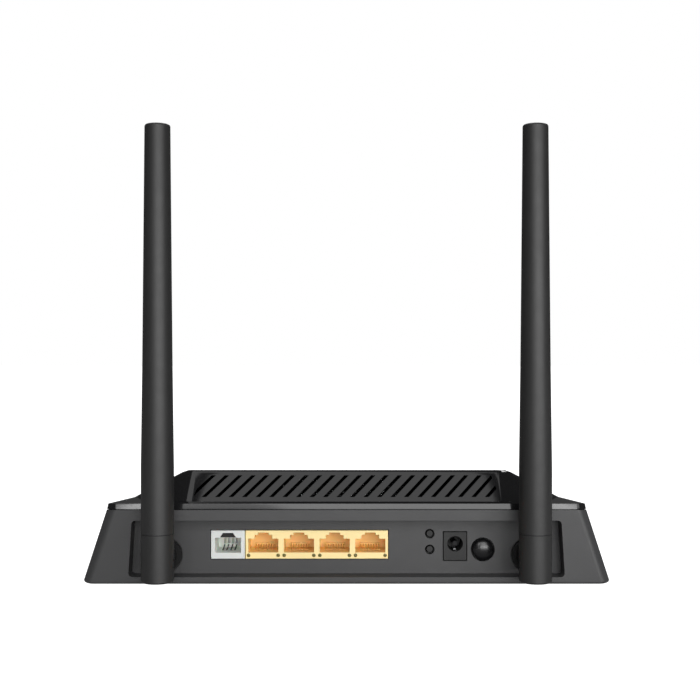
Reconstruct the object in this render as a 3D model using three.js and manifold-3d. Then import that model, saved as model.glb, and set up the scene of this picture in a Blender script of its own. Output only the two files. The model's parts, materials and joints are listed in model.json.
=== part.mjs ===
// A desktop wireless router with two folding antennas, as an assembly of separate pieces.
//
// Millimetres, +Z up. The connector side faces -Y, the indicators face +Y and +X is on the right
// of someone who looks at the connectors. Inside the assembly group, y = 0 is the plane of the
// case's connector side and z = 0 is the underside of the case; the group is then moved so that
// the origin lies on the table, under the middle of the whole object.

import * as THREE from 'three';
import { mergeVertices } from 'three/addons/utils/BufferGeometryUtils.js';
import Module from 'manifold-3d';

const wasm = await Module();
wasm.setup();

// ---------------------------------------------------------------- driving dimensions

const clearance = 0.3; // between two pieces that touch, fit together or stand on each other
const arcSteps = 5; // straight stretches in each rounded corner of the case

// Lower case: a tray with leaning sides, closed by a top cover along a seam that falls forwards.
const caseHalfWidth = 102.1;
const caseDepth = 134;
const caseWall = 2.2;
const bottomEdgeHeight = 1;
const bottomEdgeBevel = 0.8;
const sideLean = 0.3265; // inwards, for each millimetre of height
const frontLean = 0.35;
const seamRearHeight = 28.6;
const seamFall = 0.09; // down, for each millimetre forwards
const cornerCut = 3;
const cornerRadius = 3.2;
const innerCornerRadius = 2;

// Top cover: an upright rim, a narrow flange and a raised deck whose top falls forwards.
const coverWall = 2;
const rimHeight = 2.4;
const rimRounding = 0.5;
const rearFlange = 5;
const sideFlange = 7.3;
const frontFlange = 6;
const rearFlangeRise = 0.65;
const sideFlangeRise = 1.8;
const deckRearHalfWidth = 61.5;
const deckCornerDepth = 14; // how far forwards each cut rear corner of the deck's foot reaches
const deckFrontCut = 12;
const deckFootRadius = 8.5;
const ridgeHeight = 42.6;
const ridgeSetback = 9.7; // from the deck's foot to its ridge, at the rear
const ridgeHalfWidth = 61;
const ridgeCornerCut = [3, 1.6];
const ridgeRadius = 3.5;
const ridgeRounding = 0.9;
const ridgeShoulder = 0.93; // share of the deck's slope below the rounding of its ridge
const deckFall = 0.1317;
const deckFrontSetback = 10.5;
const deckFrontSideRun = 13;
const lipThickness = 1.2;

// Vent: oblique slots through the deck's rear slope.
const slotCount = 23;
const slotPitch = 5.27;
const slotWidth = 1.75;
const slotShift = 8.4; // sideways, from a slot's foot to its head
const slotFootHeight = 32.8;
const slotHeadHeight = 40.6;
const slotOffset = 1.1;
const ventFootHalfWidth = 60;
const ventHeadHalfWidth = 57.2;
const floorVentCount = 15;
const floorVentPitch = 5;
const floorVentWidth = 2;
const floorVentLength = 26;
const floorVentMiddle = 78;

// Connector recess in the case's rear side.
const recessDepth = 8;
const recessFootMargin = 17.4; // from the recess to the outside of the case's side
const recessHeadMargin = 11.6;
const recessFoot = 2.7;
const recessHead = 24.5;
const recessRadius = 1.5;

// Circuit board and its posts.
const boardTop = 7.5;
const boardThickness = 1.6;
const boardRear = 14.4;
const boardFrontGap = 11.8; // from the board to the inside of the case
const boardSideGap = 21;
const boardRearHalfWidth = 59.6;
const boardNotchDepth = 9;
const boardPostRadius = 3.2;
const boardScrewRear = [66, 34];
const boardScrewFrontInset = 10;
const boardScrewRadius = 1.2;
const boardScrewHeadRadius = 2.6;
const boardScrewHeadHeight = 1.6;

// Jacks: faces stand a hair proud of the recess floor.
const jackProud = 0.3;
const jackFoot = 8.5; // underside of the jacks where they show in the recess
const jackHead = 19.5;
const jackDepth = 17;
const portDepth = 12.5;
const lanPortCount = 4;
const lanPitch = 13.97;
const lanFirstPort = -32.65;
const lanEndWall = 6.95; // from the middle of an end port to the end of the block
const lanPortFoot = 10.9;
const lanPortHalfWidths = [5.9, 3.45, 2.1];
const lanPortHeads = [16.3, 17.8, 18.7];
const lanContactCount = 8;
const lanContactPitch = 1.02;
const contactWidth = 0.45;
const contactThickness = 0.35;
const contactSetback = 3.2; // from a jack's face to the tips of its contacts
const contactRoot = 0.2; // how far each contact runs into its carrier
const contactCarrier = 1.6;
const lanContactRise = 1.5;
const lampRadius = 0.75;
const lampDepth = 0.6;
const lampHeight = 9.75;
const lampSpread = 5.8;
const phoneWidth = 13.2;
const phonePortHalfWidth = 5.05;
const phonePortFoot = 10.8;
const phonePortHead = 16.65;
const phoneNotchHalfWidths = [3.2, 2];
const phoneNotchHead = 18.5;
const phoneContactCount = 4;
const phoneContactPitch = 1.6;
const phoneContactRise = 1.4;
const phoneSlotWidth = 0.8;
const phoneSlotDepth = 2.2;
const phoneSlotHead = 14.6;

// Power inlet and power switch.
const inletMiddle = 42.5;
const inletWidth = 9;
const inletFoot = 7.8;
const inletHead = 18.9;
const inletDepth = 14.5;
const inletHoleHeight = 14.3;
const inletHoleRadius = 3;
const inletHoleDepth = 10;
const inletPinRadius = 1;
const inletPinSetback = 1.3;
const inletSpringWidth = 1.2;
const inletSpringTip = 3; // depths behind the inlet's face
const inletSpringBend = 5;
const inletSpringThickness = 0.3;
const powerButton = [53.4, 12.1];
const powerButtonRadius = 4.2;
const buttonPlay = 0.5;
const powerButtonProud = 2.4;
const powerButtonDome = 1.6;
const powerButtonDomeSteps = 6;
const powerButtonFlange = 1;
const powerStemReach = 3; // into the switch
const powerTravel = 2.5;
const powerStem = 4.2;
const powerSwitchFront = 14.8;
const powerSwitchWidth = 11.4;
const powerSwitchHeight = 9;
const powerSwitchDepth = 12;
const powerSwitchSpare = 1.5; // beyond the stem when it is pressed

// Two small recessed push buttons, one above the other.
const smallButtonX = 32.6;
const smallButtonHeights = { reset: 18.2, wps: 12.06 };
const smallButtonRadius = 1.6;
const smallButtonFlange = 2.6;
const smallButtonFlangeThickness = 0.9;
const smallStemReach = 4.1;
const smallButtonSetback = 0.6;
const smallButtonTravel = 0.5;
const smallSwitchSize = 5.7;
const smallSwitchDepth = 3.6;
const buttonBoardThickness = 1.2;
const buttonBoardMargins = { left: 1, right: 0.4, top: 0.5 };

// Antennas: a swivel in the recess floor carries a knuckle that folds about a cross pin.
const antennaFromRecessSide = 13.1;
const swivelHeight = 10;
const pivotBehind = 11; // from the case's rear plane back to the fold pin
const swivelRadius = 6.4;
const swivelPlay = 0.5;
const swivelLedge = 1.1; // depth of the wider part of the swivel's hole
const swivelShaftRadius = 4.8;
const swivelShaftReach = 13.5;
const swivelNeckRadius = 4.6;
const swivelProud = 0.8;
const swivelNeckReach = 4;
const tongueThickness = 4.4;
const tongueRadius = 4.6;
const neckHalfHeight = 3.1;
const retainerRadius = 7.2;
const retainerThickness = 1.7;
const hingePinRadius = 1.5;
const coaxBoreRadius = 1.4;
const knuckleRadius = 6.18;
const knuckleHead = 21.2;
const knuckleFoot = 3.1;
const knuckleRounding = 0.5;
const spigotRadius = 4.2;
const spigotHead = 27.6;
const antennaHead = 175;
const antennaTipRadius = 4.83;
const antennaTipRounding = 0.9;
const antennaWaist = [86, 5.63]; // height and radius where the taper changes
const antennaShoulder = 46.7;
const radomeWall = 1.3;
const radiatorHead = 140;
const radiatorWidth = 5;
const radiatorThickness = 1;
const radiatorPlugHeight = 4;
const coaxRadius = 0.9;
const coaxPlug = [56, 44];
const coaxPlugSize = 3;
// Way of the coaxial lead from the swivel's shaft: outwards, forwards and up.
const coaxRoute = [[0, 0, 0], [0, 6, 0.3], [-2, 15, 2], [-10, 20, 3]];
const coaxDrop = 3; // straight down into the plug

// Feet and case screws.
const footRadius = 5;
const footProud = 1;
const footRecess = 0.8;
const footInsets = { side: 17, rear: 12, front: 18 };
const caseScrewInsets = { side: 17, rear: 27, front: 32 };
const casePostRadius = 3.6;
const casePostHead = 13.5;
const coverBossRadius = 3.4;
const coverBossDepth = 6.3;
const caseScrewRadius = 1.3;
const caseScrewHeadRadius = 2.6;
const caseScrewHeadHeight = 1.8;
const caseScrewSink = 1.2; // how far the screw's head lies above the underside

// Parts on the board, as [x, y] of the middle and [width, depth, height].
const processorSpot = [6, 74];
const processorSize = [17, 17, 1.4];
const heatsinkSize = [24, 24, 9];
const heatsinkFins = 6;
const heatsinkFinThickness = 1.2;
const heatsinkBase = 2;
const memorySpot = [-24, 70];
const memorySize = [10, 16, 1.1];
const shieldSpot = [42, 82];
const shieldSize = [26, 22, 3];
const shieldWall = 0.4;
const lineTransformerSpot = [-46, 46];
const lineTransformerSize = [12, 11, 9];
const bobbinSize = [15, 7, 6.5];
const magneticsSpot = [-14, 44];
const magneticsSize = [30, 10, 5.5];
const capacitorSpots = [[34, 40], [46, 46]];
const capacitorRadius = 4;
const capacitorHeight = 12;

// Indicator window in the deck's front slope, lit by a light guide.
const windowWidth = 62;
const windowHeight = 3;
const windowThickness = 1.6;
const guideLegs = 8;
const guidePitch = 7.4;
const guideLegWidth = 1.6;
const guideBarHeight = 2;

// ---------------------------------------------------------------- solids from geometry

/** A manifold solid from a closed geometry, with its faces pointing out. */
function solidOf(geometry) {
  const bare = geometry.index ? geometry.toNonIndexed() : geometry.clone();
  bare.deleteAttribute('normal');
  bare.deleteAttribute('uv');
  const merged = mergeVertices(bare, 1e-4);
  const place = merged.attributes.position.array;
  const index = merged.index.array;
  const triangles = [];
  let volume = 0;
  const [a, b, c] = [new THREE.Vector3(), new THREE.Vector3(), new THREE.Vector3()];
  for (let i = 0; i < index.length; i += 3) {
    const [p, q, r] = [index[i], index[i + 1], index[i + 2]];
    if (p === q || q === r || r === p) continue;
    triangles.push([p, q, r]);
    a.fromArray(place, 3 * p);
    b.fromArray(place, 3 * q);
    c.fromArray(place, 3 * r);
    volume += a.dot(b.cross(c));
  }
  const outward = volume > 0 ? triangles : triangles.map(([p, q, r]) => [p, r, q]);
  return new wasm.Manifold(
    new wasm.Mesh({
      numProp: 3,
      vertProperties: Float32Array.from(place),
      triVerts: Uint32Array.from(outward.flat()),
    }),
  );
}

/** A three.js geometry with flat faces from a manifold solid. */
function geometryOf(solid) {
  const mesh = solid.getMesh();
  const geometry = new THREE.BufferGeometry();
  geometry.setAttribute('position', new THREE.BufferAttribute(mesh.vertProperties, 3));
  geometry.setIndex(new THREE.BufferAttribute(mesh.triVerts, 1));
  const flat = geometry.toNonIndexed();
  flat.computeVertexNormals();
  return flat;
}

/** All the solids joined into one. */
const join = (...solids) => solids.reduce((whole, next) => whole.add(next));

/** The first solid with all the others cut from it. */
const cut = (whole, ...tools) => tools.reduce((rest, tool) => rest.subtract(tool), whole);

/** A box between two limits on each axis. */
function box([x0, x1], [y0, y1], [z0, z1]) {
  const geometry = new THREE.BoxGeometry(x1 - x0, y1 - y0, z1 - z0);
  geometry.translate((x0 + x1) / 2, (y0 + y1) / 2, (z0 + z1) / 2);
  return solidOf(geometry);
}

/** A round rod along one axis, from one limit to another, about a centre on the other two axes. */
function rod(axis, radius, [from, to], [u, v], sides = 24) {
  const geometry = new THREE.CylinderGeometry(radius, radius, to - from, sides);
  const middle = (from + to) / 2;
  if (axis === 'x') geometry.rotateZ(Math.PI / 2).translate(middle, u, v);
  if (axis === 'y') geometry.translate(u, middle, v);
  if (axis === 'z') geometry.rotateX(Math.PI / 2).translate(u, v, middle);
  return solidOf(geometry);
}

/** Turns that lay an outline drawn in x, y and its depth along z on another pair of axes. */
const outlineTurns = {
  x: new THREE.Matrix4().makeBasis(
    new THREE.Vector3(0, 1, 0),
    new THREE.Vector3(0, 0, 1),
    new THREE.Vector3(1, 0, 0),
  ),
  y: new THREE.Matrix4().makeBasis(
    new THREE.Vector3(1, 0, 0),
    new THREE.Vector3(0, 0, 1),
    new THREE.Vector3(0, -1, 0),
  ),
  z: new THREE.Matrix4(),
};

/** A prism along an axis from an outline in the other two axes: y and z, x and z, or x and y. */
function prism(axis, outline, [from, to]) {
  const shape = new THREE.Shape(outline.map((p) => (p.isVector2 ? p : new THREE.Vector2(...p))));
  const geometry = new THREE.ExtrudeGeometry(shape, { depth: to - from, bevelEnabled: false });
  geometry.translate(0, 0, axis === 'y' ? -to : from);
  return solidOf(geometry.applyMatrix4(outlineTurns[axis]));
}

/** A round piece turned about an upright line, from a profile of radius and height. */
function turned(profile, [x, y], sides = 28) {
  const points = profile.map(([radius, height]) => new THREE.Vector2(radius, height));
  const geometry = new THREE.LatheGeometry(points, sides);
  return solidOf(geometry.rotateX(Math.PI / 2).translate(x, y, 0));
}

// ---------------------------------------------------------------- outlines and lofts

/** The corners of an outline that is the same on both sides, from those on its right. */
function mirrored(rightCorners) {
  const right = rightCorners.map(([u, v]) => new THREE.Vector2(u, v));
  const left = right.map((p) => new THREE.Vector2(-p.x, p.y)).reverse();
  return [...right, ...left];
}

/** One corner of a convex outline, with the way inwards and half the angle between its sides. */
function cornerOf(corners, index) {
  const corner = corners[index];
  const back = corners.at(index - 1).clone().sub(corner).normalize();
  const ahead = corners[(index + 1) % corners.length].clone().sub(corner).normalize();
  const inward = back.clone().add(ahead).normalize();
  return { corner, back, inward, halfAngle: Math.acos(back.dot(ahead)) / 2 };
}

/** The outline moved inwards all round by a distance. */
function inset(corners, distance) {
  return corners.map((_, index) => {
    const { corner, inward, halfAngle } = cornerOf(corners, index);
    return corner.clone().addScaledVector(inward, distance / Math.sin(halfAngle));
  });
}

/** The outline's points with an arc at each corner. */
function rounded(corners, radius) {
  return corners.flatMap((_, index) => {
    const { corner, back, inward, halfAngle } = cornerOf(corners, index);
    const centre = corner.clone().addScaledVector(inward, radius / Math.sin(halfAngle));
    const start = Math.atan2(back.x, -back.y);
    const sweep = Math.PI - 2 * halfAngle;
    return Array.from({ length: arcSteps + 1 }, (__, step) => {
      const angle = start + (sweep * step) / arcSteps;
      const reach = new THREE.Vector2(Math.cos(angle), Math.sin(angle));
      return centre.clone().addScaledVector(reach, radius);
    });
  });
}

/** A closed ring in space: a rounded outline at a height that may change along y. */
function ring(corners, radius, heightAt) {
  return rounded(corners, radius).map((p) => new THREE.Vector3(p.x, p.y, heightAt(p.y)));
}

/** A solid through rings of equally many points, from the lowest up. */
function loft(rings) {
  const count = rings[0].length;
  const middleOf = (points) =>
    points.reduce((sum, p) => sum.add(p), new THREE.Vector3()).divideScalar(points.length);
  const points = [...rings.flat(), middleOf(rings[0]), middleOf(rings.at(-1))];
  const top = (rings.length - 1) * count;
  const index = [];
  for (let i = 0; i < count; i += 1) {
    const next = (i + 1) % count;
    for (let base = 0; base < top; base += count) {
      index.push(base + i, base + next, base + count + next);
      index.push(base + i, base + count + next, base + count + i);
    }
    index.push(points.length - 2, next, i);
    index.push(points.length - 1, top + i, top + next);
  }
  const geometry = new THREE.BufferGeometry().setFromPoints(points);
  geometry.setIndex(index);
  return solidOf(geometry);
}

const level = (height) => () => height;

// ---------------------------------------------------------------- the case's surfaces

const seamAt = (y) => seamRearHeight - seamFall * y;
const rimTopAt = (y) => seamAt(y) + rimHeight;
const lipInset = caseWall + clearance; // from the rim's outside to the cover's inner lip
// The lip reaches below the seam until it would meet the wall over the connector recess.
const lipDepth = seamAt(lipInset + lipThickness) - (recessHead + caseWall + clearance);
const ridgeAt = (y) => ridgeHeight - deckFall * (y - rearFlange - ridgeSetback);
const caseHalfWidthAt = (z) => caseHalfWidth - sideLean * (z - bottomEdgeHeight);
const caseFrontAt = (z) => caseDepth - frontLean * (z - bottomEdgeHeight);
const lipFoot = (y) => seamAt(y) - lipDepth;
const seamFront =
  (caseDepth - frontLean * (seamRearHeight - bottomEdgeHeight)) / (1 - frontLean * seamFall);

/** The case's outline at a height. */
function caseCorners(z) {
  const half = caseHalfWidthAt(z);
  const front = caseFrontAt(z);
  return mirrored([
    [half - cornerCut, 0],
    [half, cornerCut],
    [half, front - cornerCut],
    [half - cornerCut, front],
  ]);
}

const seamRearHalf = caseHalfWidthAt(seamAt(0));
const seamFrontHalf = caseHalfWidthAt(seamAt(seamFront));
const rimCorners = mirrored([
  [seamRearHalf - cornerCut, 0],
  [seamRearHalf, cornerCut],
  [seamFrontHalf, seamFront - cornerCut],
  [seamFrontHalf - cornerCut, seamFront],
]);

const deckFootFront = seamFront - frontFlange;
const deckFootCorners = mirrored([
  [deckRearHalfWidth, rearFlange],
  [seamRearHalf - sideFlange, rearFlange + deckCornerDepth],
  [seamFrontHalf - sideFlange, deckFootFront - deckFrontCut],
  [seamFrontHalf - sideFlange - deckFrontCut, deckFootFront],
]);

const ridgeRear = rearFlange + ridgeSetback;
const ridgeFront = deckFootFront - deckFrontSetback;
const ridgeFrontHalf = seamFrontHalf - sideFlange - deckFrontSideRun;
const ridgeCorners = mirrored([
  [ridgeHalfWidth, ridgeRear],
  [ridgeHalfWidth + ridgeCornerCut[0], ridgeRear + ridgeCornerCut[1]],
  [ridgeFrontHalf, ridgeFront - ridgeCornerCut[0]],
  [ridgeFrontHalf - ridgeCornerCut[0], ridgeFront],
]);

/** Height of the deck's foot: the flange rises more at the sides than at the rear. */
function deckFootAt(y) {
  const forward = THREE.MathUtils.clamp((y - rearFlange) / deckCornerDepth, 0, 1);
  return rimTopAt(y) + THREE.MathUtils.lerp(rearFlangeRise, sideFlangeRise, forward);
}

/** A ring part of the way from the deck's foot to its ridge. */
function deckRing(share) {
  const foot = ring(deckFootCorners, deckFootRadius, deckFootAt);
  const ridge = ring(ridgeCorners, ridgeRadius, ridgeAt);
  return foot.map((point, index) => point.clone().lerp(ridge[index], share));
}

// ---------------------------------------------------------------- lower case and top cover

const recessFootHalfWidth = caseHalfWidthAt(recessFoot) - recessFootMargin;
const recessHeadHalfWidth = caseHalfWidthAt(recessHead) - recessHeadMargin;
const antennaX = recessFootHalfWidth - antennaFromRecessSide;
const boardHalfWidth = caseHalfWidthAt(boardTop) - caseWall - boardSideGap;
const boardFront = caseFrontAt(boardTop) - caseWall - boardFrontGap;
const boardScrewSpots = [
  [-boardScrewRear[0], boardScrewRear[1]],
  boardScrewRear,
  [0, boardFront - boardScrewFrontInset],
];

/** Four spots on the underside, at given insets from the case's sides, rear and front. */
function cornerSpots({ side, rear, front }) {
  const x = caseHalfWidth - side;
  return [rear, caseDepth - front].flatMap((y) => [[-x, y], [x, y]]);
}

const footSpots = cornerSpots(footInsets);
const caseScrewSpots = cornerSpots(caseScrewInsets);
const lanPorts = Array.from({ length: lanPortCount }, (_, i) => lanFirstPort + i * lanPitch);
const jackFace = recessDepth - jackProud;
const behindWall = recessDepth + caseWall + clearance; // first place that is clear of the wall
const lanLeft = lanPorts[0] - lanEndWall;
const lanRight = lanPorts.at(-1) + lanEndWall;
const phoneRight = lanLeft - clearance;
const phoneLeft = phoneRight - phoneWidth;
const phonePort = (phoneLeft + phoneRight) / 2;
const inletLeft = inletMiddle - inletWidth / 2;
const inletRight = inletMiddle + inletWidth / 2;
const inletHole = [inletMiddle, inletHoleHeight];
const boardBottom = boardTop - boardThickness;
const onBoard = boardTop + clearance;
const swivels = [
  { side: 'left', x: -antennaX },
  { side: 'right', x: antennaX },
];

function caseOuter() {
  const edge = caseCorners(bottomEdgeHeight);
  return loft([
    ring(inset(edge, bottomEdgeBevel), cornerRadius, level(0)),
    ring(inset(edge, bottomEdgeBevel / 3), cornerRadius, level(bottomEdgeHeight / 3)),
    ring(edge, cornerRadius, level(bottomEdgeHeight)),
    ring(caseCorners(ridgeHeight), cornerRadius, level(ridgeHeight)),
  ]);
}

function caseInner() {
  return loft([
    ring(inset(caseCorners(caseWall), caseWall), innerCornerRadius, level(caseWall)),
    ring(inset(caseCorners(ridgeHeight), caseWall), innerCornerRadius, level(ridgeHeight)),
  ]);
}

/** Everything above the seam plane. */
function aboveSeam() {
  const reach = caseHalfWidth + caseDepth;
  const corners = mirrored([[reach, -caseDepth], [reach, 2 * caseDepth]]);
  return loft([
    ring(corners, cornerRadius, seamAt),
    ring(corners, cornerRadius, level(2 * caseDepth)),
  ]);
}

const recessCorners = mirrored([
  [recessFootHalfWidth, recessFoot],
  [recessHeadHalfWidth, recessHead],
]);

function recessHollow() {
  return prism('y', rounded(recessCorners, recessRadius), [-caseWall, recessDepth]);
}

function recessWalls() {
  const corners = inset(recessCorners, -caseWall);
  return prism('y', rounded(corners, recessRadius + caseWall), [0.01, recessDepth + caseWall]);
}

/** Holes through the recess floor for the jacks, the buttons and the swivels. */
function recessHoles() {
  const through = [recessDepth - caseWall, recessDepth + 2 * caseWall];
  const round = (radius, [x, z], along = through) => rod('y', radius, along, [x, z], 32);
  const grow = (low, high) => [low - clearance, high + clearance];
  return [
    box(grow(phoneLeft, lanRight), through, grow(jackFoot, jackHead)),
    box(grow(inletLeft, inletRight), through, grow(inletFoot, inletHead)),
    round(powerButtonRadius + buttonPlay, powerButton),
    ...Object.values(smallButtonHeights).map((height) =>
      round(smallButtonRadius + clearance, [smallButtonX, height]),
    ),
    ...swivels.flatMap(({ x }) => [
      round(swivelShaftRadius + swivelPlay, [x, swivelHeight]),
      round(swivelRadius + swivelPlay, [x, swivelHeight], [through[0], recessDepth + swivelLedge]),
    ]),
  ];
}

function bottomCase() {
  const outer = caseOuter();
  const shell = cut(outer, caseInner(), aboveSeam());
  const walls = recessWalls().intersect(outer);
  const boardPosts = boardScrewSpots.map((spot) =>
    rod('z', boardPostRadius, [caseWall / 2, boardBottom - clearance], spot, 16),
  );
  const casePosts = caseScrewSpots.map((spot) =>
    rod('z', casePostRadius, [caseWall / 2, casePostHead], spot, 16),
  );
  const boardScrewHoles = boardScrewSpots.map((spot) =>
    rod('z', boardScrewRadius + clearance, [caseWall, boardBottom], spot, 12),
  );
  const screwHoles = caseScrewSpots.flatMap((spot) => [
    rod('z', caseScrewRadius + clearance, [-1, casePostHead + 1], spot, 12),
    rod('z', caseScrewHeadRadius + clearance, [-1, screwSeat], spot, 16),
  ]);
  const feet = footSpots.map((spot) =>
    rod('z', footRadius + clearance, [-1, footRecess], spot),
  );
  const vents = Array.from({ length: floorVentCount }, (_, i) => {
    const x = (i - (floorVentCount - 1) / 2) * floorVentPitch;
    return box(
      [x - floorVentWidth / 2, x + floorVentWidth / 2],
      [floorVentMiddle - floorVentLength / 2, floorVentMiddle + floorVentLength / 2],
      [-1, caseWall + 1],
    );
  });
  return cut(
    join(shell, walls, ...boardPosts, ...casePosts),
    recessHollow(),
    ...recessHoles(),
    ...boardScrewHoles,
    ...screwHoles,
    ...feet,
    ...vents,
  );
}

const screwSeat = caseScrewSink + caseScrewHeadHeight + clearance;
const bossFoot = casePostHead + clearance;

function coverOuter() {
  const lifted = (lift) => (y) => seamAt(y) + lift;
  return loft([
    ring(rimCorners, cornerRadius, lifted(clearance)),
    ring(rimCorners, cornerRadius, lifted(rimHeight - rimRounding)),
    ring(inset(rimCorners, rimRounding), cornerRadius - rimRounding, rimTopAt),
    deckRing(0),
    deckRing(ridgeShoulder),
    ring(inset(ridgeCorners, ridgeRounding), ridgeRadius - ridgeRounding, ridgeAt),
  ]);
}

function coverInner() {
  const footInset = coverWall / 2;
  const lowered = (heightAt) => (y) => heightAt(y) - coverWall;
  const hollowRing = (corners, radius, heightAt) =>
    ring(inset(corners, footInset), radius - footInset, lowered(heightAt));
  const wallRing = (heightAt) =>
    ring(inset(rimCorners, coverWall), innerCornerRadius, heightAt);
  return loft([
    wallRing(lowered(seamAt)),
    wallRing(lowered(rimTopAt)),
    hollowRing(deckFootCorners, deckFootRadius, deckFootAt),
    hollowRing(ridgeCorners, ridgeRadius, ridgeAt),
  ]);
}

/** The lip that reaches down inside the lower case and hides the seam's gap. */
function coverLip() {
  const outside = inset(rimCorners, lipInset);
  const inside = inset(outside, lipThickness);
  const head = (y) => rimTopAt(y) - clearance;
  return cut(
    loft([ring(outside, innerCornerRadius, lipFoot), ring(outside, innerCornerRadius, head)]),
    loft([
      ring(inside, innerCornerRadius / 2, (y) => lipFoot(y) - 1),
      ring(inside, innerCornerRadius / 2, (y) => head(y) + 1),
    ]),
  );
}

/** The oblique slots of the rear vent, trimmed to the vent's own outline. */
function ventSlots() {
  const along = [rearFlange - 1, ridgeRear + 1];
  const slots = Array.from({ length: slotCount }, (_, i) => {
    const middle = (i - (slotCount - 1) / 2) * slotPitch + slotOffset;
    const foot = middle - slotShift / 2;
    const head = middle + slotShift / 2;
    const outline = [
      [foot - slotWidth / 2, slotFootHeight],
      [foot + slotWidth / 2, slotFootHeight],
      [head + slotWidth / 2, slotHeadHeight],
      [head - slotWidth / 2, slotHeadHeight],
    ];
    return prism('y', outline, along);
  });
  const field = mirrored([
    [ventFootHalfWidth, slotFootHeight],
    [ventHeadHalfWidth, slotHeadHeight],
  ]);
  return join(...slots).intersect(prism('y', field, along));
}

// The deck's front slope, where the indicator window sits.
const slopeRise = ridgeAt(ridgeFront) - deckFootAt(deckFootFront);
const slopeAngle = Math.atan2(slopeRise, deckFrontSetback);
const windowPlace = new THREE.Matrix4()
  .makeTranslation(
    0,
    (ridgeFront + deckFootFront) / 2,
    (ridgeAt(ridgeFront) + deckFootAt(deckFootFront)) / 2,
  )
  .multiply(new THREE.Matrix4().makeRotationX(-slopeAngle));

/** A box on the front slope: along x, down the slope, and outwards from it. */
function slopeBox(width, length, [low, high]) {
  const geometry = new THREE.BoxGeometry(width, length, high - low);
  geometry.translate(0, 0, (low + high) / 2);
  return solidOf(geometry.applyMatrix4(windowPlace));
}

function topCover() {
  const outer = coverOuter();
  const bosses = caseScrewSpots.map((spot) =>
    rod('z', coverBossRadius, [bossFoot, ridgeHeight], spot, 16).intersect(outer.add(coverFill())),
  );
  const bossHoles = caseScrewSpots.map((spot) =>
    rod('z', caseScrewRadius + clearance, [bossFoot - 1, bossFoot + coverBossDepth], spot, 12),
  );
  return cut(
    join(outer.subtract(coverInner()), coverLip(), ...bosses),
    ...bossHoles,
    ventSlots(),
    slopeBox(windowWidth, windowHeight, [-2 * coverWall, coverWall]),
  );
}

/** The space under the cover that its screw bosses hang down through. */
function coverFill() {
  const corners = inset(rimCorners, lipInset);
  return loft([
    ring(corners, innerCornerRadius, level(bossFoot)),
    ring(corners, innerCornerRadius, rimTopAt),
  ]);
}

// ---------------------------------------------------------------- board and fasteners

function mainBoard() {
  const notch = boardRear + boardNotchDepth;
  const outline = mirrored([
    [boardRearHalfWidth, boardRear],
    [boardRearHalfWidth, notch],
    [boardHalfWidth, notch],
    [boardHalfWidth, boardFront],
  ]);
  const holes = boardScrewSpots.map((spot) =>
    rod('z', boardScrewRadius + clearance, [boardBottom - 1, boardTop + 1], spot, 12),
  );
  return cut(prism('z', outline, [boardBottom, boardTop]), ...holes);
}

/** A pan-head screw that points down, with its head on a seat. */
function boardScrew(spot) {
  const shaft = rod('z', boardScrewRadius, [caseWall + clearance, onBoard], spot, 12);
  const head = rod('z', boardScrewHeadRadius, [onBoard, onBoard + boardScrewHeadHeight], spot, 16);
  return join(shaft, head);
}

/** A case screw that points up through a post into a boss of the cover. */
function caseScrew(spot) {
  const seat = screwSeat - clearance;
  const tip = bossFoot + coverBossDepth - 2 * clearance;
  const head = rod('z', caseScrewHeadRadius, [caseScrewSink, seat], spot, 16);
  return join(head, rod('z', caseScrewRadius, [seat, tip], spot, 12));
}

const rubberFoot = (spot) => rod('z', footRadius, [-footProud, footRecess - clearance], spot);

/** A plain component that stands on the board. */
function boardBlock([x, y], [width, depth, height]) {
  return box(
    [x - width / 2, x + width / 2],
    [y - depth / 2, y + depth / 2],
    [onBoard, onBoard + height],
  );
}

function processorHeatsink() {
  const [width, depth, height] = heatsinkSize;
  const [x, y] = processorSpot;
  const foot = onBoard + processorSize[2] + clearance;
  const across = (low, high) => [x + low, x + high];
  const along = [y - depth / 2, y + depth / 2];
  const gap = (width - heatsinkFins * heatsinkFinThickness) / (heatsinkFins - 1);
  const gaps = Array.from({ length: heatsinkFins - 1 }, (_, i) => {
    const start = -width / 2 + heatsinkFinThickness + i * (gap + heatsinkFinThickness);
    return box(across(start, start + gap), [along[0] - 1, along[1] + 1], [
      foot + heatsinkBase,
      foot + height + 1,
    ]);
  });
  return cut(box(across(-width / 2, width / 2), along, [foot, foot + height]), ...gaps);
}

function shieldCan() {
  const [width, depth, height] = shieldSize;
  const hollow = [width - 2 * shieldWall, depth - 2 * shieldWall, height];
  const inside = boardBlock(shieldSpot, hollow).translate([0, 0, -shieldWall]);
  return cut(boardBlock(shieldSpot, shieldSize), inside);
}

/** A ferrite core with a winding's bobbin between its legs. */
const lineTransformer = () =>
  join(
    boardBlock(lineTransformerSpot, lineTransformerSize),
    boardBlock(lineTransformerSpot, bobbinSize),
  );

const capacitor = (spot) =>
  rod('z', capacitorRadius, [onBoard, onBoard + capacitorHeight], spot, 20);

function lightGuide() {
  const middle = (ridgeFront + deckFootFront) / 2 - windowHeight / 2;
  const barHead = ridgeAt(ridgeFront) - 2 * coverWall - windowThickness - guideBarHeight;
  const halfBar = ((guideLegs - 1) * guidePitch + guideLegWidth) / 2;
  const along = [middle - guideLegWidth, middle];
  const bar = box([-halfBar, halfBar], along, [barHead - guideBarHeight, barHead]);
  const legs = Array.from({ length: guideLegs }, (_, i) => {
    const x = (i - (guideLegs - 1) / 2) * guidePitch;
    return box([x - guideLegWidth / 2, x + guideLegWidth / 2], along, [onBoard, barHead]);
  });
  return join(bar, ...legs);
}

const indicatorWindow = () =>
  slopeBox(windowWidth - 2 * clearance, windowHeight - 2 * clearance, [-windowThickness, 0]);

// ---------------------------------------------------------------- jacks

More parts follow.
